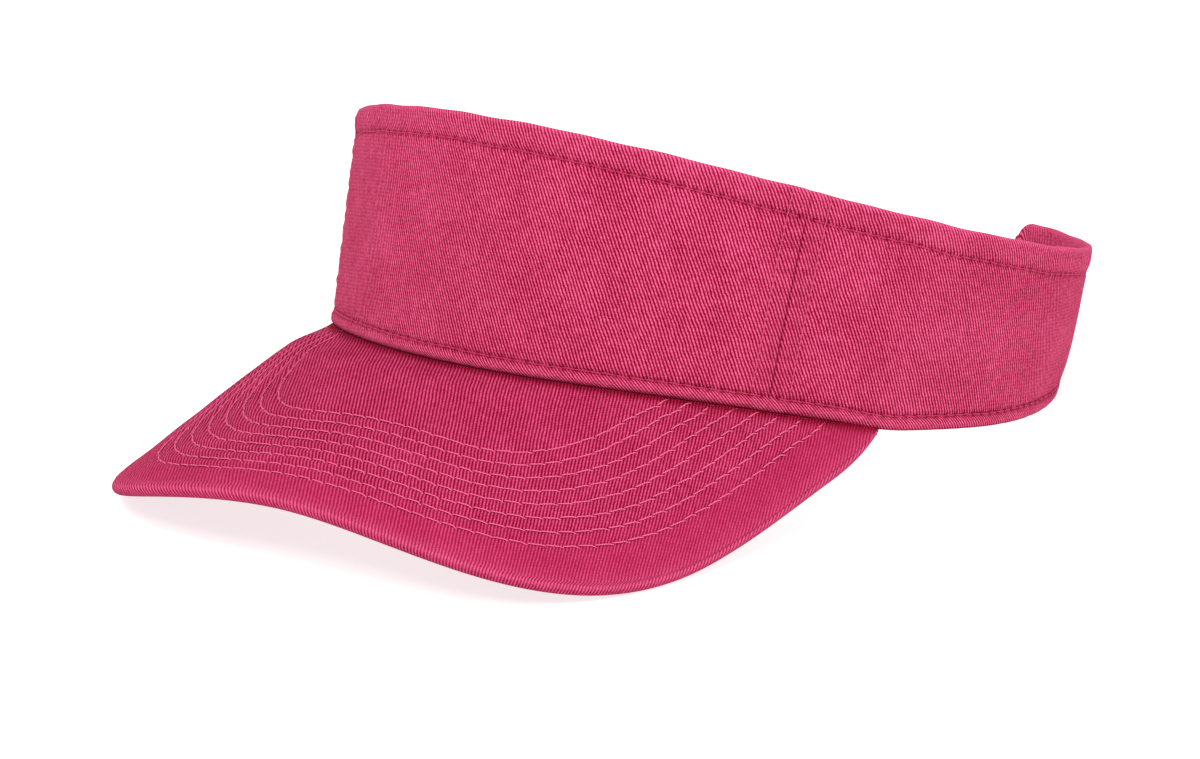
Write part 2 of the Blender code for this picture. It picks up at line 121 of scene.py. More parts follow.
def oval(angle, level):
    """Plan of the band's outer face: an ellipse, fuller behind, with a slight three-lobed
    swing, whose axes change evenly with the level from 0 at the lower edge to 1 at the top."""
    length = BAND_LENGTHS[0] + (BAND_LENGTHS[1] - BAND_LENGTHS[0]) * level
    width = BAND_WIDTHS[0] + (BAND_WIDTHS[1] - BAND_WIDTHS[0]) * level
    lobes = 1.0 + OVAL_THREE_LOBES * np.cos(3.0 * angle)
    x = BAND_SHIFT_HIGH * level + length * np.cos(angle) * lobes
    y = width * np.sin(angle) * (1.0 - OVAL_BACK_FULLNESS * np.cos(angle)) * lobes
    return x, y


def outward(angle, level):
    """Level unit direction square to the oval, from the difference of two near points."""
    ahead, behind = oval(angle + 1e-4, level), oval(angle - 1e-4, level)
    x, y = ahead[1] - behind[1], behind[0] - ahead[0]
    size = np.hypot(x, y)
    return x / size, y / size


def bill_height(x, y):
    """Height of the bill's middle surface: a slope, less steep to the sides, plus a lift that
    grows with the square of the distance from the band, less a circular arch."""
    ahead = x - BAND_LENGTHS[0]
    share = y / ARCH_REFERENCE
    across = np.minimum(np.abs(y), 0.97 * BILL_ARCH_RADIUS)
    arch = BILL_ARCH_RADIUS - np.sqrt(BILL_ARCH_RADIUS ** 2 - across ** 2)
    arch = arch + BILL_ARCH_SHARPENING * share ** 4
    slope = BILL_SLOPE - BILL_SLOPE_LOSS * share ** 2
    return -np.tan(slope) * ahead + BILL_LIFT * ahead * np.abs(ahead) - arch


def band_bottom(angle):
    """Height of the band's lower edge: the bill's surface in front, then a smooth cubic rise
    to the back that starts with six tenths of the bill's own rate."""
    turned = np.abs(np.arctan2(np.sin(angle), np.cos(angle)))
    front = bill_height(*oval(np.minimum(turned, BILL_END), 0.0))
    end = bill_height(*oval(BILL_END, 0.0))
    rate = 0.6 * (end - bill_height(*oval(BILL_END - 1e-3, 0.0))) / 1e-3
    span = np.pi - BILL_END
    s = np.clip((turned - BILL_END) / span, 0.0, 1.0)
    rise = BACK_LIFT * (3.0 * s ** 2 - 2.0 * s ** 3)
    return front + rise + rate * span * (s ** 3 - 2.0 * s ** 2 + s)


def band_top(angle):
    """Height of the band's top edge: a mean, one wave for the front's rise, two for a saddle."""
    return TOP_MEAN + TOP_FRONT_RISE * np.cos(angle) + TOP_SADDLE * np.cos(2.0 * angle)


def band_place(angle, height, inset):
    """Points of the band frame: the oval at the height's own level, moved in by the inset and,
    near the lower edge towards the back, by the way the edge draws in there."""
    low = band_bottom(angle)
    level = (height - low) / (band_top(angle) - low)
    turned = np.abs(np.arctan2(np.sin(angle), np.cos(angle)))
    drawn = 1.0 - ease(height - low, 0.0, REAR_DRAW_HEIGHT)
    inset = inset + REAR_DRAW * drawn ** 2 * ease(turned, np.radians(92.0), np.radians(132.0))
    x, y = oval(angle, level)
    out_x, out_y = outward(angle, level)
    return np.stack(np.broadcast_arrays(x - out_x * inset, y - out_y * inset, height), -1)


def tilt(points):
    """The band frame's directions turned front-up by the stand's pitch."""
    points = np.asarray(points, float)
    x, y, z = points[..., 0], points[..., 1], points[..., 2]
    c, s = np.cos(STAND_PITCH), np.sin(STAND_PITCH)
    return np.stack([x * c - z * s, y, x * s + z * c], -1)


def to_table(points):
    """Points of the band frame as points of the row frame."""
    return tilt(points) + STAND


def band_length(angle):
    """Distance along the band's lower edge from the front, signed, by adding short steps."""
    steps = np.linspace(-np.pi, 1.35 * np.pi, 2400)
    x, y = oval(steps, 0.5)
    run = np.r_[0.0, np.cumsum(np.hypot(np.diff(x), np.diff(y)))]
    return np.interp(angle, steps, run) - np.interp(0.0, steps, run)


def angle_at(length):
    """The angle at a distance along the band: band_length the other way round."""
    steps = np.linspace(-np.pi, 1.35 * np.pi, 2400)
    return np.interp(length, band_length(steps), steps)


def waves(along, lengths, seed):
    """A wavering line between about -1 and 1: sines of the given lengths in mm, added."""
    draw = np.random.default_rng(seed)
    turns = [along / (length * MM) + draw.random() for length in lengths]
    return sum(np.sin(2.0 * np.pi * turn) for turn in turns) / len(lengths)


def bump(value, middle, width):
    """A smooth hill of height 1 at the middle."""
    return np.exp(-((value - middle) / width) ** 2)


def hill(value, middle, width):
    """A bump whose middle and width are in mm."""
    return bump(value, middle * MM, width * MM)


def ease(value, start, end):
    """0 up to start, 1 from end on, and smooth between them."""
    s = np.clip((value - start) / (end - start), 0.0, 1.0)
    return s * s * (3.0 - 2.0 * s)


def grow(value, start, end):
    """An ease whose start and end are in mm."""
    return ease(value, start * MM, end * MM)


HINGE = np.array(frame["joints"][0]["pos_m"])
STAND = HINGE - tilt(band_place(STRAP_HINGE, STRAP_MIDDLE, STRAP_HINGE_INSET))


def through(knots, per_span):
    """A smooth line through knots: the Catmull-Rom cubic of each span and its neighbours."""
    knots = np.asarray(knots, float)
    padded = np.vstack([2 * knots[0] - knots[1], knots, 2 * knots[-1] - knots[-2]])
    t = np.linspace(0.0, 1.0, per_span, endpoint=False)[:, None]
    runs = []
    for k in range(len(knots) - 1):
        a, b, c, d = padded[k:k + 4]
        bend = 2 * a - 5 * b + 4 * c - d
        last = 3 * (b - c) + d - a
        runs.append(b + 0.5 * ((c - a) * t + bend * t ** 2 + last * t ** 3))
    return np.vstack(runs + [knots[-1:]])


# ---------------------------------------------------------------- meshes

def new_object(name, mesh, material):
    """Puts a mesh in the scene as one smooth piece with one material."""
    mesh.polygons.foreach_set("use_smooth", np.ones(len(mesh.polygons), bool))
    mesh.materials.append(material)
    piece = bpy.data.objects.new(name, mesh)
    bpy.context.scene.collection.objects.link(piece)
    return piece


def mesh_from(name, points, quads, cloth, masks=None):
    """A mesh of quads with a UV map in millimetres of cloth and one attribute a mask."""
    mesh = bpy.data.meshes.new(name)
    mesh.vertices.add(len(points))
    mesh.vertices.foreach_set("co", to_table(points).astype(np.float32).ravel())
    mesh.loops.add(quads.size)
    mesh.loops.foreach_set("vertex_index", quads.astype(np.int32).ravel())
    mesh.polygons.add(len(quads))
    mesh.polygons.foreach_set("loop_start", np.arange(0, quads.size, 4, dtype=np.int32))
    mesh.update(calc_edges=True)
    spots = cloth[quads.ravel()].astype(np.float32)
    mesh.uv_layers.new(name="Cloth").data.foreach_set("uv", spots.ravel())
    for label, values in (masks or {}).items():
        mask = mesh.attributes.new(label, "FLOAT", "POINT")
        mask.data.foreach_set("value", values.astype(np.float32).ravel())
    mesh.validate()
    return mesh


def grid_quads(columns, rows):
    """The quads of a grid of points, each between a point and its next ones both ways."""
    index = np.arange(columns * rows).reshape(columns, rows)
    quads = np.stack([index[:-1, :-1], index[1:, :-1], index[1:, 1:], index[:-1, 1:]], -1)
    return quads.reshape(-1, 4)


def sheet(name, points, cloth, material, thickness, masks=None, up=None):
    """A sheet: a grid of columns and rows, given its thickness behind its face. The face is
    turned away from the band's axis, or up or down where up is 1 or -1."""
    columns, rows = points.shape[:2]
    quads = grid_quads(columns, rows)
    here = points[columns // 2, rows // 2]
    normal = np.cross(points[columns // 2 + 1, rows // 2] - here,
                      points[columns // 2, rows // 2 + 1] - here)
    facing = np.array((here[0], here[1], 0.0)) if up is None else np.array((0.0, 0.0, up))
    if normal @ facing < 0.0:
        quads = quads[:, ::-1]
    mesh = mesh_from(name, points.reshape(-1, 3), quads, cloth.reshape(-1, 2), masks)
    piece = new_object(name, mesh, material)
    wall = piece.modifiers.new("Thickness", "SOLIDIFY")
    wall.thickness = thickness
    wall.offset = -1.0
    wall.use_rim = True
    return piece


def loops(name, rings, cloth, material):
    """Closed tubes: rings of points joined along each tube, and each end closed by quads
    between its two sides. rings is one tube's rings of points or several tubes' of them."""
    rings = rings.reshape((-1,) + rings.shape[-3:])
    tubes, along, around = rings.shape[:3]
    index = np.arange(tubes * along * around).reshape(tubes, along, around)
    turned = np.roll(index, -1, axis=2)
    walls = np.stack([index[:, :-1], turned[:, :-1], turned[:, 1:], index[:, 1:]], -1)
    j = np.arange(around // 2 - 1)
    cap = np.stack([j, j + 1, around - 2 - j, around - 1 - j], -1)
    ends = index[:, 0][:, cap][..., ::-1], index[:, -1][:, cap]
    quads = np.concatenate([part.reshape(-1, 4) for part in (walls, *ends)])
    ring = rings[0, along // 2]
    forward = rings[0, along // 2 + 1].mean(0) - ring.mean(0)
    if np.cross(ring[0] - ring.mean(0), ring[1] - ring.mean(0)) @ forward < 0.0:
        quads = quads[:, ::-1]
    mesh = mesh_from(name, rings.reshape(-1, 3), quads, cloth.reshape(-1, 2))
    return new_object(name, mesh, material)


def declare(piece, body, node, grid=None):
    """Tells the frame what a piece rides on and stands for. A sheet's grid is not used."""
    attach(piece, body)
    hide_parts(node)
    if grid is None:
        return


def unit(vectors):
    """Vectors shortened or stretched to a length of 1."""
    return vectors / np.linalg.norm(vectors, axis=-1, keepdims=True)


def reach_of(path):
    """Distance along a path to each of its points, from the first."""
    return np.r_[0.0, np.cumsum(np.linalg.norm(np.diff(path, axis=0), axis=1))]


def between(places, marks, values):
    """Rows of values at places, by straight lines from mark to mark in each column."""
    return np.stack([np.interp(places, marks, column) for column in values.T], -1)


def way_out(angle):
    """Level direction out of the band, as three numbers."""
    return np.stack([*outward(angle, 0.5), np.zeros_like(angle)], -1)


def band_cloth(angle, height):
    """Places in the band's cloth, in millimetres: the distance round it and the height."""
    return np.stack(np.broadcast_arrays(band_length(angle)[:, None], height), -1) / MM


STRIP_END = 0.8 * MM
STRIP_POWER = 5.0


def band_strip(name, angles, middle, half_height, inset, half_depth, material,
               puff=None, corner=0.0, points=36):
    """A flat strip round the band, drawn in at both ends. Its section is a superellipse: the
    cosine and the sine of the turn, each raised to two over the power. middle, half_height
    and inset are numbers or one value for each angle, and puff adds to the inset."""
    along = band_length(angles)
    left = np.minimum(along - along[0], along[-1] - along)
    close = np.sqrt(np.clip(1.0 - (1.0 - np.clip(left / STRIP_END, 0.0, 1.0)) ** 2, 0.02, 1.0))
    half_height = np.broadcast_to(half_height, angles.shape)
    if corner:
        cut = np.clip((along[-1] - along) / corner, 0.0, 1.0)
        half_height = half_height - corner * (1.0 - np.sqrt(1.0 - (1.0 - cut) ** 2))
    turn = 2.0 * np.pi * (np.arange(points) + 0.5) / points
    tall, deep = (np.sign(side) * np.abs(side) ** (2.0 / STRIP_POWER)
                  for side in (np.cos(turn), np.sin(turn)))
    rises = half_height[:, None] * tall
    heights = np.broadcast_to(middle, angles.shape)[:, None] + rises
    insets = np.broadcast_to(inset, angles.shape)[:, None] + (half_depth * close)[:, None] * deep
    if puff is not None:
        insets = insets + puff(along[:, None], rises, deep[None, :])
    rings = band_place(angles[:, None], heights, insets)
    return loops(name, rings, band_cloth(angles, heights + 0.001 * deep), material)


STITCH_SIDES = 6
FIRST_HOLE = 0.3


def stitches(path, up, pitch, radius, seed, rings=6, lift=1.0, slant=0.0, tick=0.0, ends=0.04):
    """Lockstitches along a path. Each is a tube that leaves one hole, lies over the cloth at a
    height of one less the cube of one less a sine's half wave, less a share ends of it at each
    side, and dips into the next hole. A tick pulls the last of it aside. Gives the tubes'
    rings, their cloth places and the holes."""
    reach = reach_of(path)
    count = max(int(round((reach[-1] - 0.6 * pitch) / pitch)), 1)
    pitch = (reach[-1] - 0.6 * pitch) / count
    draw = np.random.default_rng(seed)
    holes = FIRST_HOLE + np.arange(count + 1)
    holes = pitch * holes + 0.05 * pitch * draw.standard_normal(count + 1)
    t = np.linspace(0.0, 1.0, rings)
    along = holes[:-1, None] + (holes[1:] - holes[:-1])[:, None] * t
    arch = 1.0 - (1.0 - np.sin(np.pi * (ends + (1.0 - 2.0 * ends) * t))) ** 3
    tall = radius * lift * (1.0 + 0.25 * draw.standard_normal((count, 1)))
    forward = unit(between(along, reach, np.gradient(path, axis=0)))
    above = between(along, reach, up)
    above = unit(above - forward * (above * forward).sum(-1, keepdims=True))
    beside = np.cross(forward, above)
    lean = (slant * (t - 0.5) + 0.25 * draw.standard_normal((count, 1))) * radius
    lean = lean + tick * ease(t, 0.72, 1.0) * (1.0 + 0.35 * draw.standard_normal((count, 1)))
    middle = (between(along, reach, path) + above * ((arch - 0.75) * 1.6 * tall)[..., None]
              + beside * lean[..., None])
    turn = 2.0 * np.pi * np.arange(STITCH_SIDES) / STITCH_SIDES
    thick = radius * (0.55 + 0.45 * arch)[None, :, None, None]
    spoke = (np.cos(turn)[:, None] * above[:, :, None] * 0.85
             + np.sin(turn)[:, None] * beside[:, :, None])
    tubes = middle[:, :, None] + spoke * thick
    cloth = np.stack(np.broadcast_arrays(along[..., None], turn[None, None] * radius), -1) / MM
    return tubes, cloth, between(holes, reach, path)


def sew(name, body, node, runs, material):
    """Makes one piece of some runs of stitches."""
    tubes, cloth = (np.concatenate([run[part] for run in runs]) for part in (0, 1))
    declare(loops(name, tubes, cloth, material), body, node)


# ---------------------------------------------------------------- the bill's shape

def bill_edge(count):
    """The bill's outer edge in plan, evenly spaced from the wearer's right to the left: two
    superellipse arcs that share the bill's widest line, the rear one from the band."""
    root_x, root_y = oval(BILL_END, 0.0)
    front = BAND_LENGTHS[0] + BILL_LENGTH * np.cos(BILL_SLOPE) - BILL_WIDEST_X
    back = (BILL_WIDEST_X - root_x) / BILL_REAR_LENGTH
    width = root_y / (1.0 - back ** BILL_REAR_POWER) ** (1.0 / BILL_REAR_POWER)
    turn = np.linspace(np.arccos(back ** (BILL_REAR_POWER / 2.0)), np.pi / 2.0, 400)
    rear_x = BILL_WIDEST_X - BILL_REAR_LENGTH * np.cos(turn) ** (2.0 / BILL_REAR_POWER)
    rear_y = width * np.sin(turn) ** (2.0 / BILL_REAR_POWER)
    turn = np.linspace(np.pi / 2.0, 0.0, 900)[1:]
    front_x = BILL_WIDEST_X + front * np.abs(np.cos(turn)) ** (2.0 / BILL_FRONT_POWER)
    front_y = width * np.abs(np.sin(turn)) ** (2.0 / BILL_FRONT_POWER)
    half = np.stack([np.r_[rear_x, front_x], np.r_[rear_y, front_y]], 1)
    whole = np.r_[half * (1, -1), half[-2::-1]]
    reach = reach_of(whole)
    return between(np.linspace(0.0, reach[-1], count), reach, whole)


def bill_up(x, y):
    """Unit direction square to the bill's middle surface, from its slopes both ways."""
    step = 0.1 * MM
    rise_x = (bill_height(x + step, y) - bill_height(x - step, y)) / (2.0 * step)
    rise_y = (bill_height(x, y + step) - bill_height(x, y - step)) / (2.0 * step)
    return unit(np.stack([-rise_x, -rise_y, np.ones_like(rise_x)], -1))


def bill_point(x, y, offset):
    """A point over the bill's middle surface by an offset square to it."""
    base = np.stack(np.broadcast_arrays(x, y, bill_height(x, y)), -1)
    return base + bill_up(x, y) * np.asarray(offset)[..., None]


def from_band(x, y):
    """Distance ahead of the band's lower edge, along the line from the band's middle."""
    root = oval(np.arctan2(y / BAND_WIDTHS[0], x / BAND_LENGTHS[0]), 0.0)
    return np.hypot(x, y) - np.hypot(*root)


def top_offset(distance):
    """Height of the bill's upper face over its middle surface, pinched next to the band."""
    rise = BILL_HALF_THICKNESS - PINCHED_TOP
    return PINCHED_TOP + rise * ease(distance, 0.0, BILL_PINCH_LENGTH)


def bottom_offset(distance):
    """Height of the bill's lower face, below its middle surface."""
    rise = -(BILL_HALF_THICKNESS + PINCHED_BOTTOM)
    return PINCHED_BOTTOM + rise * ease(distance, 0.0, BILL_PINCH_LENGTH)


def laid_flat(x, y):
    """A point of the bill in the flat cloth: the arch unrolled, the slope stretched."""
    across = BILL_ARCH_RADIUS * np.arcsin(np.clip(y / BILL_ARCH_RADIUS, -0.99, 0.99))
    return np.stack(np.broadcast_arrays(across, x / np.cos(BILL_SLOPE)), -1)


FLAT_EDGE = laid_flat(*bill_edge(1200).T)


def nearest(points, places):
    """Square of the distance from each point to the nearest of some places."""
    flat = points.reshape(-1, points.shape[-1])
    least = [((flat[first:first + 4000, None] - places[None]) ** 2).sum(-1).min(1)
             for first in range(0, len(flat), 4000)]
    return np.concatenate(least).reshape(points.shape[:-1])


def near_any(points, places, width):
    """A hill of height 1 at each of some places: the largest of their Gaussian hills."""
    return np.exp(-nearest(points, places) / width ** 2)


def bill_row_plan(inward):
    """A stitch row in plan: the flat edge moved squarely inwards, less the points that come
    nearer to some other part of the edge, and less those that the band covers."""
    along = unit(np.gradient(FLAT_EDGE, axis=0))
    moved = FLAT_EDGE + along[:, ::-1] * (inward, -inward)
    x = moved[:, 1] * np.cos(BILL_SLOPE)
    y = BILL_ARCH_RADIUS * np.sin(moved[:, 0] / BILL_ARCH_RADIUS)
    clear = np.sqrt(nearest(moved, FLAT_EDGE)) > inward - 0.06 * MM
    kept = clear & (from_band(x, y) > -1.0 * MM) & (x > 0.0)
    return np.stack([x[kept], y[kept]], 1)


# ---------------------------------------------------------------- materials

class Net:
    """Adds nodes to a node tree. A value is a number, a colour or another node's output."""

    def __init__(self, tree):
        self.tree = tree
        self.count = 0

    def add(self, kind, **settings):
        node = self.tree.nodes.new(kind)
        node.location = (180 * (self.count % 9), -170 * (self.count // 9))
        self.count += 1
        for label, value in settings.items():
            setattr(node, label, value)
        return node

    def put(self, socket, value):
        if isinstance(value, bpy.types.NodeSocket):
            self.tree.links.new(value, socket)
        else:
            socket.default_value = value

    def math(self, operation, *values):
        node = self.add("ShaderNodeMath", operation=operation)
        for socket, value in zip(node.inputs, values):
            self.put(socket, value)
        return node.outputs[0]

    def total(self, first, *others):
        for other in others:
            first = self.math("ADD", first, other)
        return first

    def times(self, one, two):
        return self.math("MULTIPLY", one, two)

    def swing(self, cloud, share, base):
        """A base with a share of a noise's swing about its middle."""
        return self.math("MULTIPLY_ADD", self.math("SUBTRACT", cloud, 0.5), share, base)

    def clip(self, value):
        node = self.add("ShaderNodeClamp")
        self.put(node.inputs[0], value)
        return node.outputs[0]

    def mix(self, share, one, two, **settings):
        node = self.add("ShaderNodeMix", data_type="RGBA", **settings)
        for label, value in (("Factor", share), (6, one), (7, two)):
            self.put(node.inputs[label], value)
        return node.outputs[2]

    def noise(self, place, scale, detail=2.0, rough=0.5):
        node = self.add("ShaderNodeTexNoise")
        for label, value in (("Vector", place), ("Scale", scale), ("Detail", detail),
                             ("Roughness", rough)):
            self.put(node.inputs[label], value)
        return node.outputs[0]

    def wave(self, phase):
        """0 to 1: half of one plus the cosine of so many turns."""
        turned = self.math("COSINE", self.times(phase, 2.0 * np.pi))
        return self.math("MULTIPLY_ADD", turned, 0.5, 0.5)

    def parts(self, vector):
        node = self.add("ShaderNodeSeparateXYZ")
        self.put(node.inputs[0], vector)
        return node.outputs[0], node.outputs[1]


def open_group(name, extra=(), **inputs):
    """A new node group. It takes a place in the cloth and the named inputs, whose defaults
    give their kinds, and puts out a colour, a height and any extra values."""
    group = bpy.data.node_groups.new(name, "ShaderNodeTree")
    group.interface.new_socket("Cloth", in_out="INPUT", socket_type="NodeSocketVector")
    for label, value in inputs.items():
        kind = "NodeSocketColor" if isinstance(value, tuple) else "NodeSocketFloat"
        socket = group.interface.new_socket(label.replace("_", " "), in_out="INPUT",
                                            socket_type=kind)
        socket.default_value = colour(value) if isinstance(value, tuple) else value
    for label, kind in (("Color", "Color"), ("Height", "Float"), *extra):
        group.interface.new_socket(label, in_out="OUTPUT", socket_type="NodeSocket" + kind)
    net = Net(group)
    return group, net, net.add("NodeGroupInput").outputs, net.add("NodeGroupOutput").inputs


def colour(values):
    """Three linear numbers as a colour."""
    return (*values, 1.0)


def twill_group(name):
    """Twill weave: ridges across one direction of the cloth, each ridge cut into short floats
    that step along from ridge to ridge, bent a little by noise, and mottled by washing."""
    group, net, given, out = open_group(
        name, [("Roughness", "Float")], Across_U=0.92, Across_V=0.39, Spacing=1.15,
        Ridge=(0.7, 0.1, 0.2), Gap=(0.3, 0.02, 0.07), Worn=(0.8, 0.2, 0.3),
        Pale=(0.7, 0.3, 0.4), Wear=0.0, Hollow=0.0, Soft=0.0, Mottle=0.5, Sway=0.9, Jitter=0.4)
    place = given["Cloth"]
    u, v = net.parts(place)
    across = net.total(net.times(u, given["Across U"]), net.times(v, given["Across V"]))
    along = net.math("SUBTRACT", net.times(v, given["Across U"]), net.times(u, given["Across V"]))
    sway = net.math("SUBTRACT", net.noise(place, 0.16), 0.5)
    jitter = net.math("SUBTRACT", net.noise(place, 0.9), 0.5)
    phase = net.total(net.math("DIVIDE", across, given["Spacing"]),
                      net.times(sway, given["Sway"]), net.times(jitter, given["Jitter"]))
    floats = net.wave(net.total(net.math("DIVIDE", along, 0.95), net.times(phase, 0.37),
                                net.times(jitter, 1.7)))
    height = net.times(net.math("POWER", net.wave(phase), 0.85),
                       net.math("MULTIPLY_ADD", floats, 0.26, 0.74))
    height = net.swing(net.noise(place, 3.1, 3.0, 0.62), 0.54, height)
    blot = net.noise(place, 0.55, 3.0, 0.6)
    wash = net.noise(place, 0.075, 3.0, 0.55)
    shade = net.swing(blot, net.times(given["Mottle"], 1.3), height)
    shade = net.swing(wash, net.times(given["Mottle"], 0.8), shade)
    shade = net.clip(net.math("MULTIPLY_ADD", shade, 1.05, -0.05))
    plain = net.math("SUBTRACT", 0.52, shade)
    shade = net.math("MULTIPLY_ADD", plain, given["Soft"], shade)
    cloth = net.mix(shade, given["Gap"], given["Ridge"])
    # Painted highlight: the tops of the ridges are mixed towards a paler colour.
    cloth = net.mix(net.times(net.math("POWER", shade, 3.0), 0.5), cloth, given["Pale"])
    # Rubbed wear and painted highlight: the mask mixes the cloth towards a paler worn and lit
    # colour.
    rub = net.clip(net.times(given["Wear"], net.math("MULTIPLY_ADD", height, 0.9, 0.15)))
    cloth = net.mix(rub, cloth, given["Worn"])
    # Painted shade: the mask darkens the cloth in grooves, channels, needle holes and under
    # edges.
    dark = net.mix(net.clip(given["Hollow"]), colour((1.0, 1.0, 1.0)), colour(HOLLOW_SHARE))
    net.put(out["Color"], net.mix(1.0, cloth, dark, blend_type="MULTIPLY"))
    net.put(out["Height"], height)
    net.put(out["Roughness"], net.math("MULTIPLY_ADD", height, -0.10, 0.88))
    return group


def plain_group(name):
    """Plain weave: two waves at right angles, half their greater and half their lesser, with
    one of them held down where the cloth is ribbed."""
    group, net, given, out = open_group(
        name, Spacing=0.6, Thread=(0.5, 0.1, 0.2), Gap=(0.2, 0.02, 0.07), Rib=0.0)
    warp, weft = (net.wave(net.math("DIVIDE", way, given["Spacing"]))
                  for way in net.parts(given["Cloth"]))
    over = net.math("MAXIMUM", net.times(warp, net.math("SUBTRACT", 1.0, given["Rib"])), weft)
    both = net.math("MINIMUM", net.total(warp, given["Rib"]), weft)
    woven = net.math("MULTIPLY_ADD", both, 0.5, net.times(over, 0.5))
    height = net.swing(net.noise(given["Cloth"], 2.6, 3.0, 0.6), 0.6, woven)
    shade = net.clip(net.swing(net.noise(given["Cloth"], 0.12, 3.0), 0.7, height))
    net.put(out["Color"], net.mix(shade, given["Gap"], given["Thread"]))
    net.put(out["Height"], height)
    return group


def pile_group(name):
    """Pile or terry: small round tufts, from the distance to scattered points, with fuzz."""
    group, net, given, out = open_group(
        name, Tufts=1.2, Tip=(0.5, 0.1, 0.2), Root=(0.2, 0.02, 0.07))
    scaled = net.add("ShaderNodeVectorMath", operation="SCALE")
    net.put(scaled.inputs[0], given["Cloth"])
    net.put(scaled.inputs["Scale"], given["Tufts"])
    cells = net.add("ShaderNodeTexVoronoi")
    net.put(cells.inputs["Vector"], scaled.outputs[0])
    net.put(cells.inputs["Scale"], 1.0)
    tuft = net.math("SUBTRACT", 1.0, cells.outputs["Distance"])
    height = net.swing(net.noise(scaled.outputs[0], 3.0, 3.0, 0.65), 0.9, tuft)
    net.put(out["Color"], net.mix(net.clip(height), given["Root"], given["Tip"]))
    net.put(out["Height"], height)
    return group


def thread_group(name):
    """Twisted thread: bright strands wound round the thread's length, with soft fuzz."""
    group, net, given, out = open_group(name, Light=(0.8, 0.2, 0.4), Dark=(0.5, 0.05, 0.15))
    u, v = net.parts(given["Cloth"])
    twist = net.wave(net.total(net.math("DIVIDE", u, 0.55), net.math("DIVIDE", v, 0.8)))
    height = net.swing(net.noise(given["Cloth"], 1.7, 2.0, 0.6), 0.8, twist)
    net.put(out["Color"], net.mix(net.clip(height), given["Dark"], given["Light"]))
    net.put(out["Height"], height)
    return group


WEAVES = {"Twill weave": twill_group, "Plain weave": plain_group, "Tufted pile": pile_group,
          "Twisted thread": thread_group}
MASKS = ("Wear", "Hollow", "Soft")

# A ridge's and a gap's share of the cloth's colour, the painted shade's share in hollows, and
# the painted highlight's paleness on the ridges' tops, by red, green and blue
RIDGE_SHARE = np.array((1.74, 1.50, 1.78))
GAP_SHARE = np.array((0.37, 0.03, 0.14))
HOLLOW_SHARE = (0.50, 0.06, 0.19)
FIBRE_PALENESS = np.array((0.0, 0.45, 0.54))


def woven(name, weave, roughness, sheen, depth, tint=(1.0, 0.35, 0.5), strength=1.0, **values):
    """A material, made once: the shader's plain numbers, and one weave's colour and relief over
    them, with depth the relief in metres. The weave's masks, among them painted shade and rubbed
    wear with painted highlight, are painted on the mesh."""
    if name in bpy.data.materials:
        return bpy.data.materials[name]
    made = bpy.data.materials.new(name)
    made.use_nodes = True
    shader = made.node_tree.nodes["Principled BSDF"].inputs
    for label, value in (("Roughness", roughness), ("Specular IOR Level", 0.03),
                         ("Sheen Weight", sheen), ("Sheen Roughness", 0.45),
                         ("Sheen Tint", colour(tint))):
        shader[label].default_value = value
    net = Net(made.node_tree)
    group = net.add("ShaderNodeGroup",
                    node_tree=bpy.data.node_groups.get(weave) or WEAVES[weave](weave))
    net.put(group.inputs["Cloth"], net.add("ShaderNodeUVMap", uv_map="Cloth").outputs[0])
    for label, value in values.items():
        net.put(group.inputs[label.replace("_", " ")], value)
    for label in MASKS:
        if label in group.inputs:
            mask = net.add("ShaderNodeAttribute", attribute_name=label)
            net.put(group.inputs[label], mask.outputs["Fac"])
    relief = net.add("ShaderNodeBump")
    for label, value in (("Distance", depth), ("Strength", strength),
                         ("Height", group.outputs["Height"])):
        net.put(relief.inputs[label], value)
    net.put(shader["Base Color"], group.outputs["Color"])
    net.put(shader["Normal"], relief.outputs[0])
    if "Roughness" in group.outputs:
        net.put(shader["Roughness"], group.outputs["Roughness"])
    return made


def twill(name, base, across, spacing, mottle, sway, jitter):
    """Washed cotton twill of one colour; across is the direction square to its ridges."""
    base = np.array(base)
    ridge = base * RIDGE_SHARE
    # The painted highlight's colour on the ridges' tops.
    pale = ridge + base[0] * FIBRE_PALENESS
    return woven(name, "Twill weave", 0.85, 0.09, 0.00022, (1.0, 0.15, 0.35), 0.9,
                 Across_U=across[0], Across_V=across[1], Spacing=spacing / MM,
                 Ridge=colour(ridge), Gap=colour(base * GAP_SHARE), Pale=colour(pale),
                 Worn=colour(ridge * 1.08 + 0.45 * (pale - ridge)),
                 Mottle=mottle, Sway=sway, Jitter=jitter)


def band_twill(settings):
    """The band's twill: its ridges lean back towards the rear as they fall."""
    lean = np.radians(61.0)
    return twill("washed_band_twill", settings.band_colour, (np.sin(lean), np.cos(lean)),
                 settings.wale_spacing, 0.42, 0.9, 0.36)


def bill_twill(settings):
    """The bill's twill: its ridges run forward and towards the wearer's left."""
    lean = np.radians(60.0)
    return twill("washed_bill_twill", settings.bill_colour, (np.sin(lean), -np.cos(lean)),
                 1.13 * settings.wale_spacing, 0.46, 0.5, 0.26)


def share_of(base, share):
    """A share of a colour, held at 1."""
    return colour(np.minimum(np.array(base) * share, 1.0))


def plain_cloth(name, base, spacing, rib=0.0, roughness=0.85, sheen=0.15, depth=0.00012):
    """A plain or ribbed weave of one colour."""
    return woven(name, "Plain weave", roughness, sheen, depth, Spacing=spacing, Rib=rib,
                 Thread=share_of(base, 1.2), Gap=share_of(base, 0.6))


def pile(name, base, tufts, roughness=0.95, sheen=0.25, depth=0.0004):
    """A tufted pile or terry of one colour."""
    return woven(name, "Tufted pile", roughness, sheen, depth, Tufts=tufts,
                 Tip=share_of(base, 1.3), Root=share_of(base, 0.5))


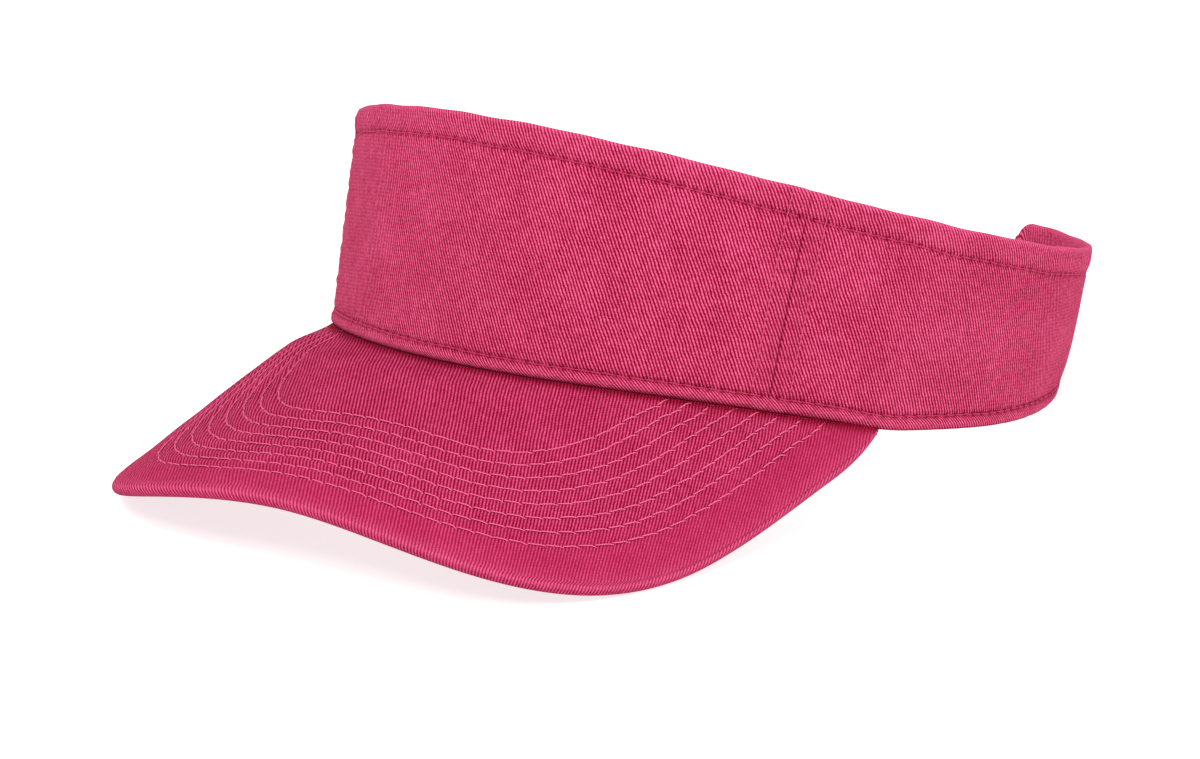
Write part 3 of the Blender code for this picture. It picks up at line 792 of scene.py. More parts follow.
def sewing_thread(name, base):
    """Twisted sewing thread of one colour."""
    return woven(name, "Twisted thread", 0.6, 0.15, 0.00006, (1.0, 0.6, 0.75),
                 Light=share_of(base, 1.15), Dark=share_of(base, 0.62))


def tonal_thread(settings):
    """The band's sewing thread, a little lighter than its cloth."""
    return sewing_thread("tonal_sewing_thread", 1.35 * np.array(settings.band_colour))


# ---------------------------------------------------------------- the band's panels

HEM_HEIGHT = 6.5 * MM
EDGE_ROLL = 3.4 * MM
SEAM_THREAD_AWAY = 4.75 * MM
SEAM_RADIUS = 0.985 * BAND_LENGTHS[0]
TOP_CORNER = 5.6 * MM
LOW_CORNER = 3.0 * MM
CLOTH = 0.6 * MM
GATHERS = (2.6, 3.9, 6.4)

# Rows of the panel's section next to its lower and top edges: rise from the edge and inset
LOW_KNOTS = np.array([
    (6.0, 1.80), (2.4, 1.85), (0.8, 1.75), (0.0, 0.95), (0.35, 0.10),
    (1.40, -0.46), (2.6, -0.22), (3.4, 0.32), (4.2, 0.10), (5.4, 0.0),
]) * MM
TOP_KNOTS = np.array([
    (-8.4, 0.0), (-7.3, 0.05), (-6.5, 0.24), (-5.7, 0.02), (-4.0, -0.22), (-1.7, -0.20),
    (-0.35, 0.12), (0.0, 0.9), (-0.5, 1.62), (-2.6, 1.85), (-6.5, 1.80),
]) * MM

PANELS = {
    "front": (-SIDE_SEAM, SIDE_SEAM),
    "left": (SIDE_SEAM, LEFT_END),
    "right": (-RIGHT_END, -SIDE_SEAM),
}
COLUMN_STEP = 0.85 * MM
SEAMS = (SIDE_SEAM, -SIDE_SEAM)
ENDS = (LEFT_END, -RIGHT_END)


def distance_to(angle, marks):
    """Distance along the band to the nearer of two angles."""
    along = band_length(angle)
    return np.minimum(*(np.abs(along - band_length(mark)) for mark in marks))


def quarter(angle, radius):
    """What a quarter circle at each open end leaves of its radius."""
    inside = np.clip(radius - distance_to(angle, ENDS), 0.0, radius)
    return np.sqrt(radius ** 2 - inside ** 2)


def edge_top(angle):
    """The finished top edge: level but for a nick at each side seam, slight wavering, and a
    quarter circle down at each open end."""
    corner = TOP_CORNER - quarter(angle, TOP_CORNER)
    waver = 0.16 * MM * waves(band_length(angle), (31, 17), 5)
    nick = 0.15 * MM * hill(distance_to(angle, SEAMS), 0.0, 1.6)
    return band_top(angle) - corner + waver - nick


def edge_low(angle):
    """The finished lower edge, rounded up at the open ends and seated on the bill in front."""
    turned = np.abs(angle)
    seated = 0.34 * MM * (1.0 - ease(turned, BILL_END + 0.05, BILL_END + 0.30))
    seated = seated + 0.45 * MM * bump(turned, BILL_END + 0.01, 0.10)
    return band_bottom(angle) + LOW_CORNER - quarter(angle, LOW_CORNER) - seated


def relief(angle, height):
    """How far the outer cloth lies inside its plain surface: seam grooves and the ridges
    beside them, less puckers either side of each stitch line and slow unevenness."""
    rise, drop = height - edge_low(angle), edge_top(angle) - height
    along, seam = band_length(angle), distance_to(angle, SEAMS)
    end = np.clip(1.0 - distance_to(angle, ENDS) / (1.5 * MM), 0.0, 1.0)
    folded = 0.35 + 0.65 * grow(np.minimum(drop, rise + 3.0 * MM), 5.8, 6.8)
    rear = ease(np.abs(angle), 1.7, 2.3)
    inset = 0.32 * folded * hill(seam, 0.0, 0.32) - 0.12 * hill(seam, 2.3, 1.4) + 0.9 * end ** 2
    inset = inset + 0.14 * bump(seam, SEAM_THREAD_AWAY, 0.75 * MM)
    inset = inset + rear * (0.40 * hill(rise, 1.4, 1.2) - 0.2 * hill(rise, 3.4, 0.7))
    pucker = 0.19 * waves(rise, GATHERS, 11) * hill(seam, 2.4, 2.3)
    uneven = 0.26 * (0.75 + 0.45 * waves(along, (53, 29), 12))
    hem = waves(along + 0.35 * drop, (3.3, 5.2, 8.6), 13)
    pucker = pucker + uneven * hem * hill(drop, 3.3, 2.2)
    below = waves(along - 0.3 * drop, (3.2, 5.2, 7.7), 14) * (drop > 6.5 * MM)
    pucker = pucker + 0.14 * below * np.exp(-np.abs(drop - 7.6 * MM) / (2.2 * MM))
    roll = waves(along - 0.9 * rise, (4.6, 7.4, 12.0), 15)
    pucker = pucker + uneven * roll * hill(rise, 1.6, 1.5)
    above = waves(along + 0.3 * rise, (3.4, 5.9, 9.1), 16) * (rise > 3.4 * MM)
    pucker = pucker + 0.14 * above * np.exp(-np.abs(rise - 4.4 * MM) / (2.6 * MM))
    pucker = pucker + 0.11 * rear * waves(along, (2.3, 3.1), 18) * hill(drop, 3.3, 2.0)
    middle = grow(rise, 4.0, 14.0) * grow(drop, 8.0, 18.0)
    slow = 0.30 * waves(along + 0.2 * rise, (47, 33, 71), 17) * middle
    return (inset - pucker - slow) * MM


def on_cloth(angle, height, inset):
    """A path on the outer cloth, at some inset from it."""
    return band_place(angle, height, relief(angle, height) + inset)


def hem_line(angle):
    """Height of the hem's stitching."""
    return edge_top(angle) - HEM_HEIGHT + 0.12 * MM * waves(band_length(angle), (23, 37), 21)


def roll_line(angle):
    """Height of the stitching above the rolled lower edge."""
    return edge_low(angle) + EDGE_ROLL + 0.10 * MM * waves(band_length(angle), (19, 41), 22)


BAND_LINES = (("hem", hem_line, 31), ("edge", roll_line, 32))


def band_run(side, spot, seed, settings):
    """One panel's run of stitches along the band, clear of the seams and ends."""
    margin = 0.6 * MM / BAND_LENGTHS[0]
    first, last = PANELS[side][0] + margin, PANELS[side][1] - margin
    count = int(abs(band_length(last) - band_length(first)) / (0.5 * MM)) + 2
    angle = np.linspace(first, last, count)
    angle = angle[distance_to(angle, SEAMS) > 1.0 * MM]
    path = on_cloth(angle, spot(angle), 0.30 * MM)
    return stitches(path, way_out(angle), settings.band_stitch, settings.band_thread, seed,
                    slant=0.8)


def panel_grid(side, settings):
    """One panel: its points, its cloth places and its masks, by columns and rows.

    The section's rows are a smooth line through LOW_KNOTS, evenly spaced face rows, and one
    through TOP_KNOTS. Each row's height is the lower edge's plus its share of the band's
    height plus its own rise; its inset is its own plus the relief on the outer face."""
    first, last = PANELS[side]
    start, stop = band_length(first) + 0.015 * MM, band_length(last) - 0.015 * MM
    near = np.array((0.0, 0.14, 0.28, 0.45, 0.65, 0.9, 1.25, 1.7)) * MM
    even = np.linspace(start + 2.3 * MM, stop - 2.3 * MM, int((stop - start) / COLUMN_STEP))
    angle = angle_at(np.r_[start + near, even, stop - near[::-1]])[:, None]
    low_rows, top_rows = through(LOW_KNOTS, 4), through(TOP_KNOTS, 4)
    face = np.linspace(0.0, 1.0, 54)[1:-1]
    share = np.r_[np.zeros(len(low_rows)), face, np.ones(len(top_rows))]
    join = (1 - face) * low_rows[-1, 0] + face * top_rows[0, 0]
    rise = np.r_[low_rows[:, 0], join, top_rows[:, 0]]
    section = np.r_[low_rows[:, 1], np.zeros(len(face)), top_rows[:, 1]]
    low, top = edge_low(angle), edge_top(angle)
    height = low + share * (top - low) + rise
    outer = grow(1.5 * MM - section, 0.0, 0.7)
    inset = section + outer * relief(angle, height)
    holes = [band_run(side, spot, seed, settings)[2] for _, spot, seed in BAND_LINES]
    dents = outer * near_any(band_place(angle, height, inset), np.concatenate(holes), 0.75 * MM)
    points = band_place(angle, height, inset + 0.22 * MM * dents)
    arc = reach_of(np.stack([rise, inset[len(angle) // 2]], 1))
    spot_v = low + share * (top - low) + np.where(
        share == 0.0, low_rows[-1, 0] + (arc - arc[len(low_rows) - 1]),
        np.where(share == 1.0, top_rows[0, 0] + (arc - arc[len(low_rows) + len(face)]), rise))
    skew = 0.5 * np.clip(EDGE_ROLL - (spot_v - low), 0.0, 6.0 * MM)
    cloth = np.stack(np.broadcast_arrays(band_length(angle) - skew, spot_v), -1) / MM
    drop, up, seam = top - height, height - low, distance_to(angle, SEAMS)
    # Rubbed wear and painted highlight on the hem's fold, the rolled edge, beside the seams and
    # at the open ends.
    wear = 0.6 * hill(drop, 0.2, 0.8) + 0.12 * hill(drop, 3.2, 2.0) + 0.35 * hill(up, 1.3, 1.0)
    wear = wear + 0.12 * hill(seam, 2.4, 1.4) + 0.5 * hill(distance_to(angle, ENDS), 0.6, 1.0)
    plain = grow(np.minimum(drop, up + 3.0 * MM), 5.8, 6.8)
    calm = 1.0 - 0.6 * ease(angle, 1.7, 2.3)
    dotted = 0.60 + 0.40 * np.cos(2.0 * np.pi * up / (1.7 * MM))
    ladder = np.clip(0.5 - 0.5 * waves(up, GATHERS, 11), 0, 1)
    # Painted shade along the stitch lines, in the seam's groove, beside its threads and between
    # its puckers.
    hollow = 0.18 * calm * hill(drop, 6.6, 0.6) + 0.24 * hill(up, 3.4, 0.6)
    hollow = hollow + (0.15 + 0.65 * plain) * dotted * hill(seam, 0.0, 0.30)
    hollow = hollow + 0.15 * bump(seam, SEAM_THREAD_AWAY, 0.7 * MM)
    hollow = hollow + 0.42 * ladder * hill(seam, 2.3, 1.9) * plain
    # Painted shade at the needle holes, and a painted contact shadow under the rolled lower edge.
    hollow = hollow + dents + 0.9 * hill(up, 0.0, 0.5)
    masks = {"Wear": np.clip(wear, 0, 1), "Hollow": np.clip(hollow, 0, 1) * outer}
    return points, cloth, masks


# ---------------------------------------------------------------- the bill's covers

CHANNEL_DEPTH = 0.34 * MM
ROWS = 8
BILL_COLUMNS = 300
BILL_FACE_ROWS = 116
LIP_LENGTH = 5.0 * MM
LIP_GAP = 0.5 * MM


def bill_rows(stitching):
    """The rows' distances from the bill's edge."""
    return [stitching.row_first + stitching.row_step * row for row in range(ROWS)]


def quilting(x, y, rows):
    """The quilted face of the bill: a soft channel along each row of stitching, a low crown
    between rows, the channels as a 0 to 1 mask, and the distance from the bill's edge."""
    edge = np.sqrt(nearest(laid_flat(x, y), FLAT_EDGE))
    away = np.min([np.abs(edge - row) for row in rows], axis=0)
    channel = hill(away, 0.0, 0.75)
    inside = (edge > rows[0] - 3.0 * MM) & (edge < rows[-1] + 3.0 * MM)
    crown = np.where(inside, hill(away, 2.1, 1.1), 0.0)
    return 0.12 * MM * crown - CHANNEL_DEPTH * channel, channel, edge


def bill_run(inward, stitching, top):
    """One row's stitches on the upper or the lower face of the bill."""
    x, y = bill_row_plan(inward).T
    side = 1.0 if top else -1.0
    offset = (top_offset if top else bottom_offset)(from_band(x, y))
    path = bill_point(x, y, offset + side * (0.55 * stitching.bill_thread - CHANNEL_DEPTH))
    wander = 0.16 * MM * waves(np.arange(len(x)) * 0.3 * MM, (9, 17, 31), int(inward * 1e5))
    up = side * bill_up(x, y)
    path = path + unit(np.cross(np.gradient(path, axis=0), up)) * wander[:, None]
    return stitches(path, up, stitching.bill_stitch, stitching.bill_thread,
                    int(inward * 1e6) + top, rings=8, slant=0.7, tick=0.45 * MM, ends=0.16)


def bill_grid(stitching, top):
    """One cover of the bill: its points, its cloth places and its masks.

    Columns run from the band's lower edge to the outer edge, and begin under the band. The
    upper cover's rows go on round the edge in a half circle and back under it as a lip."""
    share = np.linspace(0.004, 0.996, BILL_COLUMNS)
    angle = BILL_END * (2.0 * share - 1.0)
    rim = bill_edge(2001)
    spots = np.linspace(0.0, 1.0, len(rim))
    edge = between(share, spots, rim)
    away = unit(between(share, spots, np.gradient(rim, axis=0))[:, ::-1] * (1.0, -1.0))
    root, out = np.stack(oval(angle, 0.0), 1), np.stack(outward(angle, 0.0), 1)
    width = np.linalg.norm(edge - root, axis=1)
    last = from_band(*edge.T)
    radius = 0.5 * (top_offset(last) - bottom_offset(last))
    centre = 0.5 * (top_offset(last) + bottom_offset(last))
    lip = np.minimum(LIP_LENGTH, 0.3 * (width - radius))
    face, side = (top_offset, 1.0) if top else (bottom_offset, -1.0)
    end = width - radius - (0.0 if top else lip + LIP_GAP)
    steps = end[:, None] * np.linspace(0.0, 1.0, BILL_FACE_ROWS)
    plan = root[:, None] + ((edge - root) / width[:, None])[:, None] * steps[..., None]
    x, y = plan[..., 0], plan[..., 1]
    distance = from_band(x, y)
    rows = bill_rows(stitching)
    quilt, channel, from_rim = quilting(x, y, rows)
    fade = grow(distance, 0.0, 4.0)
    holes = np.concatenate([bill_run(row, stitching, top)[2] for row in rows])
    dents = near_any(bill_point(x, y, face(distance)), holes, 0.9 * MM)
    flat = laid_flat(x, y)
    drift = waves(flat[..., 0] + 0.35 * flat[..., 1], (5.3, 8.1, 12.7), 51)
    slow = waves(flat[..., 0] * 0.8 + flat[..., 1], (27, 43, 61), 52)
    lift = fade * quilt + (0.05 * drift - 0.12 * dents + 0.16 * slow * fade) * MM
    if top:
        swell = 0.30 * hill(from_rim, 1.8, 1.6) - 0.22 * hill(from_rim, 4.4, 1.5)
        lift = lift * grow(from_rim, 0.2, 3.0) + swell * fade * MM
    tuck = np.linspace(2.6 * MM, 0.25 * MM, 5)
    under = root[:, None] - out[:, None] * tuck[:, None]
    low = (band_bottom(angle) + face(0.0))[:, None, None]
    under = np.dstack([under, np.broadcast_to(low, under.shape[:2] + (1,))])
    points = np.hstack([under, bill_point(x, y, face(distance) + side * lift)])
    flat = np.hstack([flat[:, :1] - tuck[:, None] * (0.0, 1.0), flat])
    tucked = np.zeros((BILL_COLUMNS, len(tuck)))
    # Rubbed wear and painted highlight near the rim; none on the rows tucked under the band.
    wear = np.hstack([tucked, 0.34 * hill(from_rim, 1.0, 3.2)])
    soft = np.hstack([tucked, 0.12 + 0.33 * (1.0 - grow(from_rim, 8.0, 20.0))])
    # A painted contact shadow where the bill's upper cover meets the band.
    contact = hill(distance, 0.2, 1.5) if top else 0.0
    # Painted shade on the rows tucked under the band, in the quilting channels and at the needle
    # holes.
    hollow = np.hstack([tucked + 0.9, (0.12 * channel + 0.04 * dents) * fade + contact])
    if top:
        turn = np.radians(np.linspace(90.0, -90.0, 19))[1:]
        x, y = edge.T
        up = bill_up(x, y)
        level = np.c_[away, np.zeros(BILL_COLUMNS)]
        level = unit(level - up * (level * up).sum(1, keepdims=True))
        # a half circle round the outer edge, then straight back beneath it
        swing = (up[:, None] * np.sin(turn)[:, None]
                 + level[:, None] * (np.cos(turn) - 1.0)[:, None])
        bead = bill_point(x, y, centre)[:, None] + swing * radius[:, None, None]
        lip = lip[:, None] * np.linspace(0.0, 1.0, 7)[1:]
        plan = edge[:, None] - away[:, None] * (radius[:, None] + lip)[..., None]
        beneath = bill_point(plan[..., 0], plan[..., 1], bottom_offset(last)[:, None])
        points = np.hstack([points, bead, beneath])
        run = np.hstack([radius[:, None] * (np.pi / 2 - turn), radius[:, None] * np.pi + lip])
        flat = np.hstack([flat, flat[:, -1:] + away[:, None, ::-1] * run[..., None]])
        # Painted highlight on the bead's upper crest, with some rubbed wear all round it.
        crest = np.r_[0.26 + 0.64 * bump(turn, 0.95, 0.42), np.zeros(lip.shape[1])]
        wear = np.hstack([wear, np.broadcast_to(crest, run.shape)])
        hollow = np.hstack([hollow, np.zeros(run.shape)])
        soft = np.hstack([soft, np.full(run.shape, 0.2)])
    masks = {"Wear": np.clip(wear, 0, 1), "Hollow": np.clip(hollow, 0, 1), "Soft": soft}
    return points, flat / MM, masks


def stiffener_board():
    """The bill's plastic insert: smooth, off-white, with faint clouds of handling."""
    made = bpy.data.materials.new("board_plastic")
    made.use_nodes = True
    shader = made.node_tree.nodes["Principled BSDF"]
    net = Net(made.node_tree)
    cloud = net.noise(net.add("ShaderNodeTexCoord").outputs["Object"], 60.0, 3.0)
    net.put(shader.inputs["Base Color"],
            net.mix(cloud, colour((0.62, 0.62, 0.60)), colour((0.76, 0.76, 0.74))))
    net.put(shader.inputs["Roughness"], net.math("MULTIPLY_ADD", cloud, 0.2, 0.35))
    return made


# ---------------------------------------------------------------- settings

def colour_setting(name, description, default):
    """A colour that a user can change."""
    return bpy.props.FloatVectorProperty(
        name=name, description=description, subtype="COLOR", size=3, min=0.0, max=1.0,
        default=default)


def length_setting(name, description, least, most, default):
    """A length that a user can change, in mm."""
    return bpy.props.FloatProperty(
        name=name, description=description, subtype="DISTANCE", unit="LENGTH",
        min=least * MM, max=most * MM, default=default * MM)


class VisorCloth(bpy.types.PropertyGroup):
    """Colours and weave of the cloth."""

    band_colour: colour_setting(
        "Band colour", "Base colour of the band's twill", (0.413, 0.0240, 0.0835))
    bill_colour: colour_setting(
        "Bill colour", "Base colour of the bill's twill", (0.338, 0.0108, 0.0625))
    thread_colour: colour_setting(
        "Thread colour", "Base colour of the sewing thread", (0.80, 0.120, 0.270))
    lining_colour: colour_setting(
        "Lining colour", "Base colour of the linings and the sweatbands", (0.37, 0.026, 0.083))
    wale_spacing: length_setting(
        "Twill spacing", "Distance between the twill's ridges", 0.3, 5.0, 0.76)


class VisorStitching(bpy.types.PropertyGroup):
    """Lengths and thicknesses of the stitching."""

    band_stitch: length_setting(
        "Band stitch", "Length of one stitch on the band", 1.0, 10.0, 3.1)
    bill_stitch: length_setting(
        "Bill stitch", "Length of one stitch on the bill", 1.0, 10.0, 4.0)
    band_thread: length_setting(
        "Band thread", "Radius of the thread on the band", 0.1, 1.0, 0.21)
    bill_thread: length_setting(
        "Bill thread", "Radius of the thread on the bill", 0.1, 1.0, 0.18)
    row_first: length_setting(
        "First row", "Distance from the bill's edge to its outer row", 3.0, 30.0, 12.4)
    row_step: length_setting(
        "Row step", "Distance from one row of the bill to the next", 2.0, 20.0, 4.24)


# ---------------------------------------------------------------- pieces

class VISOR_OT_panels(bpy.types.Operator):
    """Makes the three outer panels of the band, each one sheet folded in at top and bottom"""

    bl_idname = "visor.panels"
    bl_label = "Band Panels"

    def execute(self, context):
        twill_cloth = band_twill(context.scene.visor_cloth)
        for side in PANELS:
            points, flat, masks = panel_grid(side, context.scene.visor_stitching)
            piece = sheet(side + "_panel_cloth", points, flat, twill_cloth, CLOTH, masks)
            declare(piece, "visor", side + "_panel", points)
        return {"FINISHED"}


def rows_between(low, high, count):
    """Heights from one line to another, evenly spaced, by columns and rows."""
    return low[:, None] + (high - low)[:, None] * np.linspace(0.0, 1.0, count)


def band_sheet(node, angle, height, inset, material, thickness):
    """A sheet round the band, which stands for one node."""
    points = band_place(angle[:, None], height, inset)
    piece = sheet(node + "_sheet", points, band_cloth(angle, height), material, thickness)
    declare(piece, "visor", node, points)


def sweatband_height(angle):
    """Height of the sweatband: 28 mm, or less where the band is low."""
    return np.minimum(28.0 * MM, 0.68 * (band_top(angle) - band_bottom(angle)))


class VISOR_OT_linings(bpy.types.Operator):
    """Makes the linings, the interlining, the sweatbands, the seam tapes and the care label"""

    bl_idname = "visor.linings"
    bl_label = "Linings and Sweatbands"

    def execute(self, context):
        base = context.scene.visor_cloth.lining_colour
        lining = plain_cloth("lining_weave", base, 0.55)
        towel = pile("sweatband_terry", base, 1.35)
        margin = 0.03 * MM / BAND_LENGTHS[0]
        for side, (first, last) in PANELS.items():
            count = int((band_length(last) - band_length(first)) / (1.5 * MM))
            angle = np.linspace(first + margin, last - margin, count)
            height = rows_between(band_bottom(angle) + 1.0 * MM, band_top(angle) - 5.0 * MM, 30)
            ripple = waves(band_length(angle)[:, None] + 0.3 * height, (21, 13), 41)
            band_sheet(side + "_lining", angle, height,
                       2.2 * MM + 0.09 * MM * ripple, lining, 0.5 * MM)
            self.sweatband(side, angle, towel)
        angle = np.linspace(-SIDE_SEAM + 0.004, SIDE_SEAM - 0.004, 90)
        height = rows_between(band_bottom(angle) + 7.0 * MM, band_top(angle) - 7.5 * MM, 24)
        buckram = plain_cloth("buckram_weave", (0.78, 0.76, 0.72), 1.4, 0.0, 0.8, 0.0)
        band_sheet("front_interlining", angle, height, 0.95 * MM, buckram, 0.5 * MM)
        self.tapes(plain_cloth("seam_tape_weave", base, 0.8, 0.8, 0.7, 0.2))
        self.label()
        return {"FINISHED"}

    def sweatband(self, side, angle, towel):
        """A padded strip whose inner face is fullest along its middle and pinched where it is
        sewn, near its top."""
        angle = np.linspace(angle[0], angle[-1], int(1.6 * len(angle)))
        half = 0.5 * (sweatband_height(angle) - 0.3 * MM)

        def puff(along, height, deep):
            share = height / half[:, None]
            full = 0.75 * (1.0 - share ** 4) * (1.0 - 0.8 * bump(share, 0.78, 0.07))
            quilt = 0.10 * waves(along + 0.4 * height, (9, 15), 43)
            return (full + quilt) * MM * ease(deep, 0.2, 0.8)

        piece = band_strip(side + "_sweatband_pad", angle, band_bottom(angle) + 0.3 * MM + half,
                           half, 3.45 * MM, 0.5 * MM, towel, puff, points=64)
        declare(piece, "visor", side + "_sweatband")

    def tapes(self, ribbed):
        """A ribbed tape over the inside of each side seam."""
        across = np.linspace(-1.0, 1.0, 26)
        for side, sign in (("left", 1.0), ("right", -1.0)):
            angle = sign * SIDE_SEAM + np.radians(3.5) * across
            low = band_bottom(angle) + sweatband_height(angle) + 0.7 * MM
            height = rows_between(low, band_top(angle) - 5.3 * MM, 40)
            inset = 2.95 * MM + 0.35 * MM * (1.0 - across[:, None] ** 4)
            band_sheet(side + "_seam_tape", angle, height, inset, ribbed, 0.3 * MM)

    def label(self):
        """A blank satin label, sewn in along its top and curling a little at its foot."""
        satin = plain_cloth("label_weave", (0.80, 0.79, 0.77), 0.25, 0.9, 0.42, 0.0, 0.00003)
        angle = np.radians(np.linspace(100.3, 107.7, 24))
        low = band_bottom(angle) + 4.2 * MM
        height = rows_between(low, low + 19.6 * MM, 34)
        across, rows = np.linspace(-1.0, 1.0, 24)[:, None], np.linspace(0.0, 1.0, 34)
        inset = 5.2 * MM + 0.35 * MM * across ** 2 + 0.8 * MM * (1.0 - rows) ** 3
        band_sheet("care_label", angle, height, inset, satin, 0.2 * MM)


class VISOR_OT_bill(bpy.types.Operator):
    """Makes the bill's upper and lower covers, quilted by their rows of stitching"""

    bl_idname = "visor.bill"
    bl_label = "Bill"

    def execute(self, context):
        material = bill_twill(context.scene.visor_cloth)
        for name, top, up in (("bill_top", True, 1.0), ("bill_bottom", False, -1.0)):
            points, flat, masks = bill_grid(context.scene.visor_stitching, top)
            piece = sheet(name + "_cloth", points, flat, material, CLOTH, masks, up)
            declare(piece, "visor", name + "_cover", points)
        frame["nodes"]["bill_stiffener"].material_slots[0].material = stiffener_board()
        return {"FINISHED"}


class VISOR_OT_band_stitching(bpy.types.Operator):
    """Sews the band: the hem and the lower edge of each panel, and both side seams"""

    bl_idname = "visor.band_stitching"
    bl_label = "Band Stitching"

    def execute(self, context):
        stitching, cloth = context.scene.visor_stitching, context.scene.visor_cloth
        material = tonal_thread(cloth)
        for side in PANELS:
            for label, spot, seed in BAND_LINES:
                sew("%s_%s_stitches" % (side, label), "visor", "%s_%s_thread" % (side, label),
                    [band_run(side, spot, seed, stitching)], material)
        paler = 0.5 * (np.array(cloth.band_colour) * 1.4 + np.array(cloth.thread_colour))
        material = sewing_thread("seam_sewing_thread", paler)
        for side, sign in (("left", 1.0), ("right", -1.0)):
            for label, away in (("front", -1.0), ("rear", 1.0)):
                angle = np.full(120, sign * (SIDE_SEAM + away * SEAM_THREAD_AWAY / SEAM_RADIUS))
                low, high = edge_low(angle) + EDGE_ROLL + 0.6 * MM, edge_top(angle) - 0.9 * MM
                height = np.linspace(low[0], high[0], 120)
                hem = hill(edge_top(angle) - height, 3.2, 2.2)
                path = on_cloth(angle, height, -0.02 * MM - 0.36 * MM * hem)
                run = stitches(path, way_out(angle), stitching.band_stitch,
                               stitching.band_thread * 0.66, 61 + int(away), lift=0.8, slant=0.6)
                sew("%s_seam_stitches_%s" % (side, label), "visor",
                    "%s_seam_thread_%s" % (side, label), [run], material)
        return {"FINISHED"}


class VISOR_OT_bill_stitching(bpy.types.Operator):
    """Sews the bill's rows, each of them through both covers"""

    bl_idname = "visor.bill_stitching"
    bl_label = "Bill Stitching"

    def execute(self, context):
        stitching = context.scene.visor_stitching
        material = sewing_thread("light_sewing_thread", context.scene.visor_cloth.thread_colour)
        for row, inward in enumerate(bill_rows(stitching), 1):
            runs = [bill_run(inward, stitching, top) for top in (True, False)]
            sew("bill_stitches_%d" % row, "visor", "bill_stitch_row_%d" % row, runs, material)
        return {"FINISHED"}


# The closure's strips: first and last angle in degrees, columns, points of the section, and
# half height, inset and half depth in mm
LOOP_TAPE = (210.0, 241.0, 110, 48, 8.4, -0.8, 0.5)
ROOT_TAB = (147.2, 155.0, 40, 36, 5.9, 1.2, 0.3)
HOOK_TAPE = (211.0, 230.0, 90, 48, 7.9, -2.08, 0.45)
STRAP_INNER = 1.25 * MM
STRAP_OUTER = -(2.0 * 1.3 + 0.3 + 0.7) * MM
STRAP_HALF_HEIGHTS = (7.6 * MM, 1.8 * MM)
ROOT_BOX_ANGLES = np.radians((148.6, 154.4))
ROOT_BOX_HALF_HEIGHT = 6.0 * MM


def strap_inset(angle):
    """Inset of the strap's middle: inside the left panel at its root, then eased out over the
    back opening until it lies over both tapes on the right panel."""
    climb = ease(angle, STRAP_START, STRAP_CLIMB_END)
    return STRAP_INNER + (STRAP_OUTER - STRAP_INNER) * climb


class VISOR_OT_closure(bpy.types.Operator):
    """Makes the hook-and-loop closure: the strap and its root, the two tapes and their sewing"""

    bl_idname = "visor.closure"
    bl_label = "Closure Strap"

    def execute(self, context):
        cloth = context.scene.visor_cloth
        twill_cloth = band_twill(cloth)
        dark = np.array(cloth.band_colour) * 0.8
        loop_pile = pile("loop_tufts", dark, 1.6, depth=0.0005)
        hook_pile = pile("hook_tufts", dark * 0.9, 2.3, 0.5, 0.1, 0.0005)
        self.strip("loop_tape_pile", LOOP_TAPE, loop_pile, "visor", "loop_tape", "loop_pile")
        self.strip("strap_root_cloth", ROOT_TAB, twill_cloth, "visor", "strap_root_tab",
                   "band_twill")
        self.strap(twill_cloth)
        self.strip("hook_tape_pile", HOOK_TAPE, hook_pile, "strap", "hook_tape", "hook_pile")
        self.strap_sewing(context.scene.visor_stitching, tonal_thread(cloth))
        return {"FINISHED"}

    def strip(self, name, sizes, material, body, node, slot):
        """A straight strip at the strap's height."""
        first, last, columns, points, half_height, inset, half_depth = sizes
        angle = np.radians(np.linspace(first, last, columns))
        piece = band_strip(name, angle, STRAP_MIDDLE, half_height * MM, inset * MM,
                           half_depth * MM, material, points=points)
        declare(piece, body, node)

    def strap(self, twill_cloth):
        """The strap, from its root inside the left panel round the back opening to the right
        panel.
        """
        angle = np.linspace(np.radians(153.5), STRAP_END, 300)
        narrow, widening = STRAP_HALF_HEIGHTS
        half = narrow + widening * ease(angle, np.radians(155.5), np.radians(159.5))

        def soft(along, height, deep):
            rim = 0.12 * hill(np.abs(height), 8.0, 0.7) * np.sign(deep)
            wave = 0.16 * waves(along + 0.3 * height, (13, 21), 71)
            return (rim * ease(np.abs(deep), 0.3, 0.9) + wave) * MM

        piece = band_strip("closure_strap_cloth", angle, STRAP_MIDDLE, half, strap_inset(angle),
                           0.66 * MM, twill_cloth, soft, 5.5 * MM, 56)
        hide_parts("closure_strap")
        start, end = (to_table(band_place(np.radians(turn), STRAP_MIDDLE, STRAP_HINGE_INSET))
                      for turn in (155.2, 160.5))
        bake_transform(piece)

    def strap_sewing(self, stitching, thread):
        """The strap's edge stitching, and the box that sews its root to the panel."""
        sizes = stitching.band_stitch, stitching.band_thread
        angle = np.linspace(np.radians(161.0), STRAP_END - np.radians(2.6), 400)
        line = np.r_[angle, angle[::-1]]
        edge = STRAP_HALF_HEIGHTS[0]
        height = STRAP_MIDDLE + np.repeat((-edge, edge), len(angle))
        path = band_place(line, height, strap_inset(line) - 0.60 * MM)
        sew("strap_edge_stitches", "strap", "strap_edge_thread",
            [stitches(path, way_out(line), *sizes, 81, slant=0.8)], thread)
        near, far = ROOT_BOX_ANGLES
        low, high = STRAP_MIDDLE - ROOT_BOX_HALF_HEIGHT, STRAP_MIDDLE + ROOT_BOX_HALF_HEIGHT
        corners = [(near, low), (far, low), (far, high), (near, high), (near, low)]
        runs = []
        for number, (one, two) in enumerate(zip(corners[:-1], corners[1:])):
            turn, height = np.linspace(one, two, 60).T
            runs.append(stitches(on_cloth(turn, height, -0.12 * MM), way_out(turn), *sizes,
                                 90 + number))
        sew("strap_root_stitches", "visor", "strap_root_thread", runs, thread)


